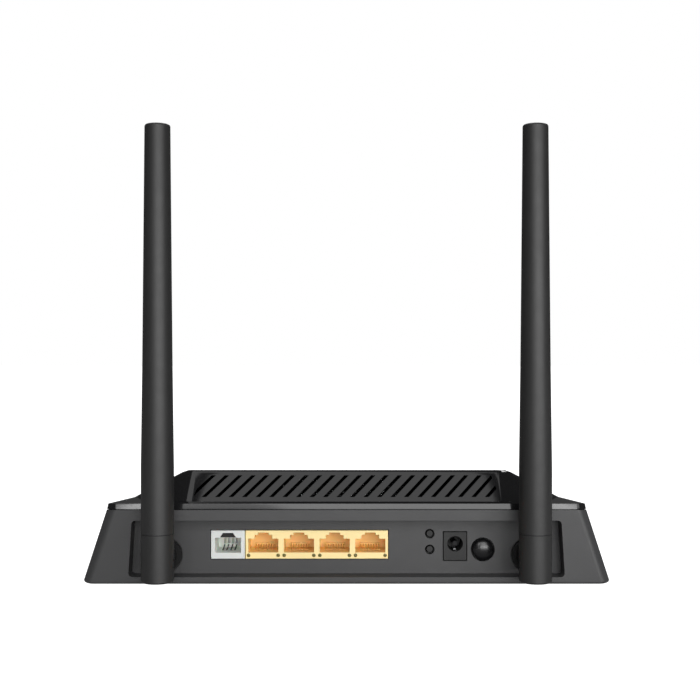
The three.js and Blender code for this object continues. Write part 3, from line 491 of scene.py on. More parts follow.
# painted shade: a darker copy of the antenna black, with weak reflections, for the swivel disc shaded by
# the antenna
SWIVEL_PAINTED_SHADE = MouldedFinish("swivel_satin", "antenna_black", (0.010, 0.010, 0.010), 0.5, shine=0.15)
MOULDED = MouldedFinish("jack_black", "moulded_black", (0.018, 0.018, 0.018), 0.48, shine=0.3)
CHIP = MouldedFinish("component_black", "component_black", (0.014, 0.014, 0.016), 0.55, 0.4, 0.02)
BOARD = LaminateFinish("board_green", "board_green", (0.010, 0.085, 0.035), (0.02, 0.15, 0.06))
RADIATOR = LaminateFinish("radiator_laminate", "radiator_laminate", (0.10, 0.09, 0.03), (0.5, 0.33, 0.12))
WINDOW = GlossFinish("window_smoke", "window_smoke", (0.020, 0.022, 0.025), 0.05, 0.004)
GUIDE = ClearFinish("guide_clear", "guide_clear", (0.92, 0.95, 0.97), 0.14, 0.85)
LENS = ClearFinish("lamp_lens", "lan_yellow", (0.16, 0.14, 0.03), 0.25, 0.3)
MARK = MouldedFinish("indicator_mark", "guide_clear", (0.55, 0.58, 0.6), 0.35)


# -------- meshes


def evaluated_mesh(carrier: bpy.types.Object) -> bpy.types.Mesh:
    """Applies a carrier's modifiers and removes the carrier.

    Args:
        carrier: An object in the scene.

    Returns:
        Its mesh, with the modifiers applied.
    """
    graph = bpy.context.evaluated_depsgraph_get()
    done = carrier.evaluated_get(graph)
    mesh = bpy.data.meshes.new_from_object(done, preserve_all_data_layers=True, depsgraph=graph)
    rough = carrier.data
    carrier.modifiers.clear()
    bpy.data.objects.remove(carrier)
    bpy.data.meshes.remove(rough)
    return mesh


def carrier_of(mesh: bpy.types.Mesh) -> bpy.types.Object:
    """Makes an object that carries a mesh while its modifiers run.

    Args:
        mesh: The mesh.

    Returns:
        The object, in the scene.
    """
    carrier = bpy.data.objects.new("carrier", mesh)
    bpy.context.scene.collection.objects.link(carrier)
    return carrier


@dataclass(frozen=True)
class EdgeBreak:
    """How a piece's edges are rounded."""

    radius: float = 0.22
    steps: int = 2
    sharper_than: float = 28.0  # degrees
    flat_weight: int = 100  # how much the large faces decide the shading

    def apply(self, mesh: bpy.types.Mesh) -> bpy.types.Mesh:
        """Rounds the sharp edges and shades flats flat and curves smooth.

        Args:
            mesh: A merged mesh.

        Returns:
            A new mesh; the given one is removed.
        """
        for face in mesh.polygons:
            face.use_smooth = True
        carrier = carrier_of(mesh)
        bevel = carrier.modifiers.new("edges", "BEVEL")
        bevel.width = self.radius * MM
        bevel.segments = self.steps
        bevel.limit_method = "ANGLE"
        bevel.angle_limit = math.radians(self.sharper_than)
        bevel.use_clamp_overlap = True
        normals = carrier.modifiers.new("normals", "WEIGHTED_NORMAL")
        normals.keep_sharp = True
        normals.weight = self.flat_weight
        return evaluated_mesh(carrier)


FINE = EdgeBreak(0.12)
CASE_EDGE = EdgeBreak(0.25, 3)
COVER_EDGE = EdgeBreak(0.15, 2)
KNUCKLE_EDGE = EdgeBreak(0.2, 2)


def merged_copy(node: str) -> bpy.types.Mesh:
    """Copies a node's mesh, its loose triangles merged and its flats made whole faces.

    Args:
        node: The node.

    Returns:
        The copy.
    """
    made = bmesh.new()
    made.from_mesh(frame["nodes"][node].data)
    bmesh.ops.remove_doubles(made, verts=made.verts, dist=WELD)
    bmesh.ops.dissolve_limit(made, angle_limit=FLAT, verts=made.verts, edges=made.edges)
    mesh = bpy.data.meshes.new(node)
    made.to_mesh(mesh)
    made.free()
    return mesh


def body_of_node(node: str) -> str:
    """The body that a node rides on."""
    return frame["nodes"][node].parent.name.removeprefix("body:")


def place(
    name: str, mesh: bpy.types.Mesh, finish: Finish, stands_for: Sequence[str] = ()
) -> bpy.types.Object:
    """Puts a finished piece on a body.

    Args:
        name: The piece's name.
        mesh: Its mesh, in place.
        finish: Its main finish, used where the mesh has no material yet.
        stands_for: The nodes it replaces, all on one body. Without any, it rides on the case.

    Returns:
        The piece.
    """
    mesh.name = name
    if not mesh.materials:
        mesh.materials.append(material_of(finish))
    piece = bpy.data.objects.new(name, mesh)
    bpy.context.scene.collection.objects.link(piece)
    body = body_of_node(stands_for[0]) if stands_for else "case"
    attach(piece, body)
    if stands_for:
        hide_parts(*stands_for)
    log.info("%s: %d faces on %s", name, len(mesh.polygons), body)
    return piece


def refine(node: str, finish: Finish, edge: EdgeBreak = FINE) -> bpy.types.Object:
    """Replaces a node with its own shape, its edges rounded.

    Args:
        node: The node.
        finish: Its finish.
        edge: How its edges are rounded.

    Returns:
        The piece.
    """
    return place(f"{node}_finished", edge.apply(merged_copy(node)), finish, [node])


def repaint(piece: bpy.types.Object, finish: Finish, chosen: Callable[[Vector], bool]) -> None:
    """Gives another finish to some of a piece's faces.

    Args:
        piece: The piece.
        finish: The other finish.
        chosen: True for the middle of a face that gets it.
    """
    mesh = piece.data
    mesh.materials.append(material_of(finish))
    for face in mesh.polygons:
        if chosen(face.center):
            face.material_index = len(mesh.materials) - 1


def turned_mesh(profile: Sequence[tuple[float, float]], foot: Vector, steps: int) -> bpy.types.Mesh:
    """A closed round piece about an upright line.

    Args:
        profile: Radius and height of each point, in metres, round the section. A radius of 0 is a pole.
        foot: Where the line's height is 0.
        steps: Faces round the piece.

    Returns:
        The mesh.
    """
    made = bmesh.new()
    rings = []
    for radius, height in profile:
        count = steps if radius > 0 else 1
        angles = [2 * math.pi * i / steps for i in range(count)]
        spots = [Vector((radius * math.cos(a), radius * math.sin(a), height)) for a in angles]
        rings.append([made.verts.new(foot + spot) for spot in spots])
    for ring, after in zip(rings, rings[1:] + rings[:1]):
        for i in range(steps):
            near = [ring[i % len(ring)], ring[(i + 1) % len(ring)]]
            far = [after[(i + 1) % len(after)], after[i % len(after)]]
            unlike = list(dict.fromkeys(near + far))
            if len(unlike) > 2:
                made.faces.new(unlike)
    bmesh.ops.recalc_face_normals(made, faces=made.faces)
    mesh = bpy.data.meshes.new("turned")
    made.to_mesh(mesh)
    made.free()
    for face in mesh.polygons:
        face.use_smooth = True
    mesh.set_sharp_from_angle(angle=TURNED_CREASE)
    return mesh


def prism(outline: Sequence[tuple[float, float]], ends: Sequence[float]) -> bpy.types.Mesh:
    """A straight bar along Y.

    Args:
        outline: Its section's corners, each across and up, in metres, in order round the section.
        ends: Where it starts and ends.

    Returns:
        The mesh.
    """
    count = len(outline)
    corners = [(across, end, up) for end in ends for across, up in outline]
    sides = [(i, (i + 1) % count, (i + 1) % count + count, i + count) for i in range(count)]
    caps = [tuple(reversed(range(count))), tuple(range(count, 2 * count))]
    mesh = bpy.data.meshes.new("prism")
    mesh.from_pydata(corners, [], sides + caps)
    made = bmesh.new()
    made.from_mesh(mesh)
    bmesh.ops.recalc_face_normals(made, faces=made.faces)
    made.to_mesh(mesh)
    made.free()
    return mesh


# -------- geometry nodes


class Input(Enum):
    """Kinds of inputs that a recipe may have."""

    COUNT = "NodeSocketInt"
    LENGTH = "NodeSocketFloat"
    PLACE = "NodeSocketVector"


class Recipe(NodeBench):
    """A Geometry Nodes tree with named inputs, run once on a set of points."""

    def __init__(self, name: str) -> None:
        """Starts an empty tree.

        Args:
            name: The tree's name.
        """
        super().__init__(bpy.data.node_groups.new(name, "GeometryNodeTree"))
        for way in ("INPUT", "OUTPUT"):
            self.tree.interface.new_socket("Geometry", in_out=way, socket_type="NodeSocketGeometry")
        self.entry = self.tree.nodes.new("NodeGroupInput")
        self.points = self.entry.outputs["Geometry"]
        self.values: dict[str, Any] = {}

    def size(self, label: str, value: Any, kind: Input = Input.LENGTH) -> bpy.types.NodeSocket:
        """Adds a named input.

        Args:
            label: The input's name.
            value: What it is set to; lengths and places are in metres.
            kind: The input's kind.

        Returns:
            The socket to link from.
        """
        item = self.tree.interface.new_socket(label, in_out="INPUT", socket_type=kind.value)
        self.values[item.identifier] = value
        return self.entry.outputs[label]

    def repeated(self, shape: Any, points: Any, **inputs: Any) -> bpy.types.Node:
        """The shape at each point."""
        return self.add("GeometryNodeInstanceOnPoints", {"Points": points, "Instance": shape, **inputs})

    def moved(self, shape: Any, **inputs: Any) -> bpy.types.Node:
        """The shape moved, turned or scaled."""
        return self.add("GeometryNodeTransform", {"Geometry": shape, **inputs})

    def joined(self, *shapes: Any) -> bpy.types.Node:
        """Several shapes as one."""
        return self.add("GeometryNodeJoinGeometry", {"Geometry": list(shapes)})

    def swept(self, path: Any, profile: Any) -> bpy.types.Node:
        """A profile swept along a path, with closed ends."""
        inputs = {"Curve": path, "Profile Curve": profile, "Fill Caps": True}
        return self.add("GeometryNodeCurveToMesh", inputs)

    def disc(self, label: str, steps: int, radius: float, depth: float) -> bpy.types.Node:
        """A round disc or bar along Z, with named inputs for its radius and depth.

        Args:
            label: What it is called in the inputs' names.
            steps: Faces round it.
            radius: Its radius, in metres.
            depth: Its depth, in metres.

        Returns:
            The node.
        """
        inputs = {
            "Vertices": steps,
            "Radius": self.size(f"{label} radius", radius),
            "Depth": self.size(f"{label} depth", depth),
        }
        return self.add("GeometryNodeMeshCylinder", inputs)

    def ring(self, label: str, steps: int, radius: float) -> bpy.types.Node:
        """A circle to sweep, with a named input for its radius in metres."""
        inputs = {"Resolution": steps, "Radius": self.size(f"{label} radius", radius)}
        return self.add("GeometryNodeCurvePrimitiveCircle", inputs)

    def row(self, label: str, count: int, start: Any, pitch: float) -> bpy.types.Node:
        """A row of points along X.

        Args:
            label: What stands at the points, in the inputs' names.
            count: How many points.
            start: The first one.
            pitch: From one to the next, in metres.

        Returns:
            The node.
        """
        inputs = {
            "Count": self.size(f"{label} count", count, Input.COUNT),
            "Start Location": self.size(f"{label} start", start, Input.PLACE),
            "Offset": self.size(f"{label} pitch", (pitch, 0, 0), Input.PLACE),
        }
        return self.add("GeometryNodeMeshLine", inputs)

    def dressed(self, shape: Any, finish: Finish) -> bpy.types.Node:
        """The shape made real, with a finish."""
        real = self.add("GeometryNodeRealizeInstances", {"Geometry": shape})
        return self.add("GeometryNodeSetMaterial", {"Geometry": real, "Material": material_of(finish)})

    def run(self, shape: Any, base: bpy.types.Mesh) -> bpy.types.Mesh:
        """Runs the tree once.

        Args:
            shape: What the tree gives.
            base: The mesh that goes in, usually loose points.

        Returns:
            A plain mesh.
        """
        way_out = self.tree.nodes.new("NodeGroupOutput")
        self.link(shape, way_out.inputs["Geometry"])
        carrier = carrier_of(base)
        modifier = carrier.modifiers.new("recipe", "NODES")
        modifier.node_group = self.tree
        for identifier, value in self.values.items():
            modifier[identifier] = value
        mesh = evaluated_mesh(carrier)
        for face in mesh.polygons:
            face.use_smooth = True
        mesh.set_sharp_from_angle(angle=RECIPE_CREASE)
        return mesh


def loose_points(points: Iterable[Vector], chained: bool = False) -> bpy.types.Mesh:
    """Makes a mesh of points.

    Args:
        points: The points.
        chained: Whether each is joined to the next.

    Returns:
        The mesh.
    """
    places = [tuple(point) for point in points]
    edges = [(i, i + 1) for i in range(len(places) - 1)] if chained else []
    mesh = bpy.data.meshes.new("points")
    mesh.from_pydata(places, edges, [])
    return mesh


# -------- case


def broad_face(node: str, toward: Vector) -> tuple[Vector, Vector]:
    """Finds the broad face of a node that looks most towards a direction.

    Args:
        node: The node.
        toward: The direction.

    Returns:
        The face's middle and its normal.
    """
    mesh = merged_copy(node)
    face = max(mesh.polygons, key=lambda each: each.area * max(0.0, each.normal.dot(toward)))
    found = face.center.copy(), face.normal.copy()
    bpy.data.meshes.remove(mesh)
    return found


@dataclass
class CaseShells:
    """The lower case, the top cover, the smoked window with its marks, and what stands behind it."""

    mark_pitch: float = 7.4
    mark_radius: float = 0.6
    mark_count: int = 8
    mark_proud: float = 0.02
    mark_steps: int = 24
    seam_height: float = 28.6  # at the connector side
    seam_fall: float = 0.09
    rim_height: float = 2.4
    rim_tilt: float = 0.2  # upward share of a normal, at most, on the rim's outside
    rim_lean: float = 0.35  # how far the rim's outside leans in at its head

    def build(self) -> None:
        """Makes the shells, the window and its marks."""
        refine("bottom_case", CASE, CASE_EDGE)
        shell = merged_copy("top_cover")
        self.lean_rim(shell)
        place("top_cover_finished", COVER_EDGE.apply(shell), COVER, ["top_cover"])
        refine("indicator_window", WINDOW)
        refine("indicator_light_guide", GUIDE)
        self.marks()

    def lean_rim(self, mesh: bpy.types.Mesh) -> None:
        """Leans the outside of the cover's upright rim inwards.

        Args:
            mesh: The cover's merged mesh, changed in place.
        """
        moves: dict[int, list[Vector]] = {}
        for face in mesh.polygons:
            outward = face.normal.x * face.center.x + face.normal.y * face.center.y
            on_rim = 0 < self.above_seam(face.center) < self.rim_height
            if abs(face.normal.z) > self.rim_tilt or outward < 0 or not on_rim:
                continue
            for i in face.vertices:
                if self.above_seam(mesh.vertices[i].co) > self.rim_height / 2:
                    moves.setdefault(i, []).append(face.normal * self.rim_lean * MM)
        for i, each in moves.items():
            mesh.vertices[i].co -= sum(each, Vector()) / len(each)

    def above_seam(self, spot: Vector) -> float:
        """Height of a point over the plane of the seam, in millimetres."""
        return (spot.z - datum.underside + self.seam_fall * (spot.y - datum.rear)) / MM - self.seam_height

    def marks(self) -> None:
        """A row of small round marks on the window, one over each leg of the light guide."""
        centre, normal = broad_face("indicator_window", Vector((0, 1, 1)).normalized())
        recipe = Recipe("window_marks")
        lean = tuple(normal.to_track_quat("Z", "Y").to_euler())
        disc = recipe.disc("Mark", self.mark_steps, self.mark_radius * MM, 2 * self.mark_proud * MM)
        leaned = recipe.moved(disc, Rotation=recipe.size("Lean", lean, Input.PLACE))
        first = -(self.mark_count - 1) / 2 * self.mark_pitch
        start = tuple(centre + Vector((first * MM, 0, 0)))
        row = recipe.row("Marks", self.mark_count, start, self.mark_pitch * MM)
        mesh = recipe.run(recipe.dressed(recipe.repeated(leaned, row), MARK), loose_points([]))
        place("window_marks", mesh, MARK)


# -------- connectors


@dataclass
class SpringRow:
    """Rows of bent contact springs, each row on a carrier at the back of its port."""

    name: str
    nodes: Sequence[str]
    count: int
    pitch: float
    wire: Finish
    seat: Finish
    width: float = 0.42
    thickness: float = 0.3
    lift: float = 0.3  # of a spring's tip above the row's foot
    carrier_depth: float = 1.2
    bend_steps: int = 8

    def build(self) -> None:
        """Makes the rows of all the ports as one piece."""
        low, high = (Vector(corner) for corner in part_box(self.nodes[0]))
        half = (high - low) / 2
        recipe = Recipe(self.name)
        lift, deep = self.lift * MM, self.carrier_depth * MM
        path = recipe.add(
            "GeometryNodeCurveQuadraticBezier",
            {
                "Resolution": self.bend_steps,
                "Start": recipe.size("Tip", (0, -half.y, lift - half.z), Input.PLACE),
                "Middle": recipe.size("Bend", (0, 0, lift - half.z), Input.PLACE),
                "End": recipe.size("Root", (0, half.y - deep / 2, half.z - lift), Input.PLACE),
            },
        )
        blade = recipe.add(
            "GeometryNodeCurvePrimitiveQuadrilateral",
            {
                "Width": recipe.size("Width", self.width * MM),
                "Height": recipe.size("Thickness", self.thickness * MM),
            },
        )
        first = -(self.count - 1) / 2 * self.pitch * MM
        row = recipe.row("Springs", self.count, (first, 0, 0), self.pitch * MM)
        springs = recipe.repeated(recipe.swept(path, blade), row)
        size = (2 * half.x, deep, 2 * half.z)
        carrier = recipe.add("GeometryNodeMeshCube", {"Size": recipe.size("Carrier", size, Input.PLACE)})
        seated = recipe.moved(carrier, Translation=(0, half.y - deep / 2, 0))
        both = recipe.joined(recipe.dressed(springs, self.wire), recipe.dressed(seated, self.seat))
        rows = recipe.repeated(both, recipe.points)
        real = recipe.add("GeometryNodeRealizeInstances", {"Geometry": rows})
        mesh = recipe.run(real, loose_points(middle(node) for node in self.nodes))
        place(self.name, mesh, self.wire, self.nodes)


@dataclass
class LanJacks:
    """The block of four ports with its contact springs and lamp lenses."""

    ports: int = 4
    springs: int = 8
    spring_pitch: float = 1.02
    lens_radius: float = 0.72
    lens_height: float = 9.75
    lens_spread: float = 5.8
    lens_flatness: float = 0.6
    lens_setback: float = 0.5
    lens_steps: tuple[int, int] = (16, 8)
    inside_from: float = 0.5  # depth behind the face where the painted shade inside the ports begins
    port_half_width: float = 6.0
    lintel: float = 0.5
    middles: list[Vector] = field(init=False)  # of the ports
    face: float = field(init=False)  # place of the block's front, in metres
    head: float = field(init=False)  # height of its top, in metres

    def build(self) -> None:
        """Makes the block, its springs and its lenses."""
        nodes = [f"lan_contacts_{i + 1}" for i in range(self.ports)]
        self.middles = [middle(node) for node in nodes]
        low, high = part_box("lan_jack_housing")
        self.face, self.head = low[1], high[2]
        # the insides of the ports get the painted shade
        repaint(refine("lan_jack_housing", LAN), LAN_PAINTED_SHADE, self.in_port)
        row = SpringRow("lan_contact_springs", nodes, self.springs, self.spring_pitch, GOLD, LAN_PAINTED_SHADE)
        row.build()
        self.lenses()

    def in_port(self, at: Vector) -> bool:
        """Tells whether a spot is inside a port, where the yellow is painted with shade.

        Args:
            at: The spot.

        Returns:
            True behind the face and inside a port's outline.
        """
        near = min(abs(at.x - port.x) for port in self.middles)
        behind = at.y > self.face + self.inside_from * MM
        return behind and at.z < self.head - self.lintel * MM and near < self.port_half_width * MM

    def lenses(self) -> None:
        """Two small lamp lenses under each port."""
        recipe = Recipe("lan_lamp_lenses")
        segments, rings = self.lens_steps
        radius = recipe.size("Lens radius", self.lens_radius * MM)
        inputs = {"Segments": segments, "Rings": rings, "Radius": radius}
        bead = recipe.add("GeometryNodeMeshUVSphere", inputs)
        flatness = recipe.size("Flatness", (1, self.lens_flatness, 1), Input.PLACE)
        flat = recipe.moved(bead, Scale=flatness)
        lenses = recipe.dressed(recipe.repeated(flat, recipe.points), LENS)
        height = datum.at(0, 0, self.lens_height).z
        spots = [
            Vector((port.x + way * self.lens_spread * MM, self.face + self.lens_setback * MM, height))
            for port in self.middles
            for way in (-1, 1)
        ]
        place("lan_lamp_lenses", recipe.run(lenses, loose_points(spots)), LENS)


@dataclass
class PhoneJack:
    """The telephone socket with its four contact wires."""

    wires: int = 4
    wire_pitch: float = 1.6
    # depth behind the face where the painted light inside the socket begins
    inside_from: float = 0.5
    notch: tuple[tuple[float, float], ...] = ((3.2, 16.65), (2.0, 18.5))  # half widths, heights
    notch_depth: tuple[float, float] = (1.2, 6.0)  # behind the face

    def build(self) -> None:
        """Makes the socket, a near-black block painted as shade in its latch notch, and its wires."""
        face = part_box("phone_jack_housing")[0][1]
        housing = refine("phone_jack_housing", PHONE)
        # the inside of the socket gets the painted light
        repaint(housing, PHONE_PAINTED_LIGHT, lambda at: at.y > face + self.inside_from * MM)
        port = middle("phone_jack_contacts").x
        (foot_half, foot), (head_half, head) = self.notch
        outline = [(-foot_half, foot), (foot_half, foot), (head_half, head), (-head_half, head)]
        corners = [(port + x * MM, datum.at(0, 0, height).z) for x, height in outline]
        # painted shade: a near-black block fills the latch notch where there is only shade
        painted_shade_block = prism(corners, [face + depth * MM for depth in self.notch_depth])
        place("phone_latch_hollow", painted_shade_block, LATCH_PAINTED_SHADE)
        nodes = ["phone_jack_contacts"]
        # the wires carry the painted shade of the slots behind them
        row = SpringRow(
            "phone_contact_wires", nodes, self.wires, self.wire_pitch, PHONE_WIRE_PAINTED_SHADE, PHONE_PAINTED_LIGHT
        )
        row.build()


@dataclass
class PowerPanel:
    """The power inlet, the power button and the two small recessed buttons."""

    cap_taper: float = 0.76  # width of a small button's face, against the rest of its cap
    cap_rim: float = 0.35  # depth of the part that narrows

    def build(self) -> None:
        """Makes the inlet and the buttons."""
        refine("power_jack_housing", MOULDED)
        # the inlet's pin is painted dark as shade
        refine("power_jack_pin", INLET_PIN_PAINTED_SHADE)
        refine("power_jack_spring", STEEL)
        refine("power_button", BUTTON)
        refine("power_switch_body", MOULDED)
        for name in ("reset", "wps"):
            self.small_button(f"{name}_button")
            refine(f"{name}_switch", MOULDED)

    def small_button(self, node: str) -> None:
        """Makes a small button whose cap narrows towards its face.

        Args:
            node: The button's node.
        """
        mesh = merged_copy(node)
        front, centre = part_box(node)[0][1], middle(node)
        for vertex in mesh.vertices:
            if vertex.co.y < front + self.cap_rim * MM:
                vertex.co.x = centre.x + (vertex.co.x - centre.x) * self.cap_taper
                vertex.co.z = centre.z + (vertex.co.z - centre.z) * self.cap_taper
        place(f"{node}_finished", FINE.apply(mesh), MOULDED, [node])


# -------- antennas


@dataclass
class Antenna:
    """One antenna: its radome, knuckle, swivel, pin, radiator and lead."""

    side: Side
    radius: float = 6.18
    knuckle_head: float = 21.2
    shoulder: float = 46.7
    waist: tuple[float, float] = (86.0, 5.63)  # height, radius
    tip_radius: float = 4.83
    tip_rounding: float = 0.9
    bore: float = 4.5
    wall: float = 1.3
    foot_chamfer: float = 0.1
    joint_line: float = 0.1  # what is left to see of the gap over the knuckle
    steps_round: int = 96
    tip_steps: int = 6
    lead_radius: float = 0.9
    lead_route: tuple[Rgb, ...] = ((0, 0, 0), (0, 6, 0.3), (-2, 15, 2), (-10, 20, 3))
    lead_drop: float = 3.0
    lead_steps: int = 64
    lead_sides: int = 16
    lead_gap: float = 0.3  # from the plug's head to the lead

    def named(self, part: str) -> str:
        """A node's name on this side."""
        return f"{self.side.label}_{part}"

    def build(self) -> None:
        """Makes the antenna's pieces."""
        node = self.named("antenna_radome")
        axis = middle(node)
        foot = Vector((axis.x, axis.y, datum.underside))
        mesh = turned_mesh(self.radome_profile(), foot, self.steps_round)
        place(f"{node}_finished", mesh, ANTENNA, [node])
        refine(self.named("antenna_knuckle"), ANTENNA, KNUCKLE_EDGE)
        # the swivel disc is painted with the antenna's shade
        refine(self.named("swivel"), SWIVEL_PAINTED_SHADE)
        refine(self.named("swivel_retainer"), MOULDED)
        refine(self.named("hinge_pin"), MOULDED)
        refine(self.named("antenna_radiator"), RADIATOR)
        refine(self.named("coax_plug"), GOLD)
        self.lead()

    def radome_profile(self) -> list[tuple[float, float]]:
        """Works out the section of the radome's wall.

        Returns:
            Radius and height of each point, in metres, from the foot's inner edge round.
        """
        low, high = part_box(self.named("antenna_radome"))
        head = (high[2] - datum.underside) / MM
        foot = min((low[2] - datum.underside) / MM, self.knuckle_head + self.joint_line)
        waist_height, waist_radius = self.waist
        quarter = [math.pi / 2 * i / self.tip_steps for i in range(self.tip_steps + 1)]
        corner, round_from = self.tip_radius - self.tip_rounding, head - self.tip_rounding
        outside = [
            (self.bore, foot),
            (self.radius - self.foot_chamfer, foot),
            (self.radius, foot + self.foot_chamfer),
            (self.radius, self.shoulder),
            ((self.radius + waist_radius) / 2, (self.shoulder + waist_height) / 2),
            (waist_radius, waist_height),
        ]
        tip = [
            (corner + self.tip_rounding * math.cos(a), round_from + self.tip_rounding * math.sin(a))
            for a in quarter
        ]
        inside = [
            (0, head),
            (0, head - 2 * self.wall),
            (self.tip_radius - self.wall, head - 2 * self.wall),
            (waist_radius - self.wall, waist_height),
            (self.bore, self.shoulder),
        ]
        return [(radius * MM, height * MM) for radius, height in outside + tip + inside]

    def lead(self) -> None:
        """The coaxial lead inside the case, from the swivel's shaft to its plug."""
        node = self.named("coax_lead")
        way = self.side.value
        pin = middle(self.named("hinge_pin"))
        start = Vector((pin.x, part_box(node)[0][1], pin.z))
        plug = middle(self.named("coax_plug"))
        plug_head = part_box(self.named("coax_plug"))[1][2] + self.lead_gap * MM
        bend = pin.z + (self.lead_route[-1][2] + 1) * MM
        points = [start + Vector((way * out, ahead, up)) * MM for out, ahead, up in self.lead_route]
        points += [
            Vector((plug.x + way * self.lead_radius * MM, plug.y - 2 * self.lead_drop * MM, bend)),
            Vector((plug.x, plug.y, plug_head + self.lead_drop * MM)),
            Vector((plug.x, plug.y, plug_head)),
        ]
        recipe = Recipe(f"{node}_sweep")
        curve = recipe.add("GeometryNodeMeshToCurve", {"Mesh": recipe.points})
        smooth = recipe.add("GeometryNodeCurveSplineType", {"Curve": curve}, spline_type="CATMULL_ROM")
        even = recipe.add("GeometryNodeResampleCurve", {"Curve": smooth, "Count": self.lead_steps})
        lead = recipe.swept(even, recipe.ring("Lead", self.lead_sides, self.lead_radius * MM))
        mesh = recipe.run(recipe.dressed(lead, CHIP), loose_points(points, chained=True))
        place(f"{node}_finished", mesh, CHIP, [node])


# -------- fasteners and feet


@dataclass
class ScrewSet:
    """Cross-recessed screws with a real thread, all alike."""

    name: str
    nodes: Sequence[str]
    head_up: bool
    head_radius: float = 2.6
    head_height: float = 1.7
    core_radius: float = 0.95
    thread_radius: float = 0.2
    thread_pitch: float = 0.8
    bare_turns: float = 1.5  # of the stem without thread
    cross_width: float = 0.75
    cross_length: float = 3.2
    cross_depth: float = 1.1
    head_steps: int = 40
    stem_steps: int = 24
    turn_steps: int = 18  # in a turn of the thread
    crest_steps: int = 4

    def build(self) -> None:
        """Makes the screws of a set as one piece."""
        low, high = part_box(self.nodes[0])
        length = high[2] - low[2]
        recipe = Recipe(self.name)
        head = recipe.disc("Head", self.head_steps, self.head_radius * MM, self.head_height * MM)
        arm = (self.cross_length * MM, self.cross_width * MM, 2 * self.cross_depth * MM)
        bar = recipe.add("GeometryNodeMeshCube", {"Size": recipe.size("Cross arm", arm, Input.PLACE)})
        across = recipe.moved(bar, Rotation=(0, 0, math.pi / 2))
        lifted = recipe.moved(head, Translation=(0, 0, self.head_height / 2 * MM))
        recessed = recipe.add(
            "GeometryNodeMeshBoolean", {0: lifted, 1: [bar, across]}, operation="DIFFERENCE"
        )
        stem = length - self.head_height * MM
        core = recipe.disc("Stem", self.stem_steps, self.core_radius * MM, stem)
        helix = recipe.add(
            "GeometryNodeCurveSpiral",
            {
                "Resolution": self.turn_steps,
                "Rotations": stem / (self.thread_pitch * MM) - self.bare_turns,
                "Start Radius": self.core_radius * MM,
                "End Radius": self.core_radius * MM,
                "Height": stem - self.bare_turns * self.thread_pitch * MM,
            },
        )
        crest = recipe.ring("Thread crest", self.crest_steps, self.thread_radius * MM)
        seat = self.head_height * MM
        screw = recipe.joined(
            recessed,
            recipe.moved(core, Translation=(0, 0, seat + stem / 2)),
            recipe.moved(recipe.swept(helix, crest), Translation=(0, 0, seat + self.thread_pitch * MM)),
        )
        turn = (math.pi, 0, 0) if self.head_up else (0, 0, 0)
        turned = recipe.moved(screw, Rotation=recipe.size("Turn", turn, Input.PLACE))
        spots = [middle(node) for node in self.nodes]
        for spot in spots:
            spot.z += length / 2 if self.head_up else -length / 2
        screws = recipe.dressed(recipe.repeated(turned, recipe.points), STEEL)
        place(self.name, recipe.run(screws, loose_points(spots)), STEEL, self.nodes)


@dataclass
class Feet:
    """Four round rubber feet with raised rings underneath."""

    count: int = 4
    rings: int = 4
    ring_pitch: float = 1.1
    ring_radius: float = 0.25
    side_steps: int = 64
    ring_steps: int = 8

    def build(self) -> None:
        """Makes the feet as one piece."""
        nodes = [f"rubber_foot_{i + 1}" for i in range(self.count)]
        low, high = (Vector(corner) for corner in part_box(nodes[0]))
        radius, thickness = (high.x - low.x) / 2, high.z - low.z - self.ring_radius * MM
        recipe = Recipe("rubber_feet")
        disc = recipe.disc("Foot", self.side_steps, radius, thickness)
        seated = recipe.moved(disc, Translation=(0, 0, self.ring_radius * MM / 2))
        circle = recipe.ring("Unit", self.side_steps, 1.0)
        line = recipe.row("Rings", self.rings, (0, 0, 0), 0)
        index = recipe.add("GeometryNodeInputIndex")
        number = recipe.add("ShaderNodeMath", {0: index, 1: 1.0}, operation="ADD")
        pitch = recipe.size("Ring pitch", self.ring_pitch * MM)
        reach = recipe.add("ShaderNodeMath", {0: number, 1: pitch}, operation="MULTIPLY")
        scale = recipe.add("ShaderNodeCombineXYZ", {"X": reach, "Y": reach, "Z": 1.0})
        circles = recipe.add(
            "GeometryNodeRealizeInstances", {"Geometry": recipe.repeated(circle, line, Scale=scale)}
        )
        ridges = recipe.swept(circles, recipe.ring("Ring section", self.ring_steps, self.ring_radius * MM))
        lowered = recipe.moved(ridges, Translation=(0, 0, (self.ring_radius * MM - thickness) / 2))
        foot = recipe.joined(seated, lowered)
        feet = recipe.dressed(recipe.repeated(foot, recipe.points), RUBBER)
        spots = loose_points(middle(node) for node in nodes)
        place("rubber_feet", recipe.run(feet, spots), RUBBER, nodes)


# -------- board

BOARD_PARTS: dict[str, Finish] = {
    "main_board": BOARD,
    "button_board": BOARD,
    "processor": CHIP,
    "processor_heatsink": ALUMINIUM,
    "memory_chip": CHIP,
    "radio_shield_can": STEEL,
    "line_transformer": CHIP,
    "lan_magnetics": CHIP,
}


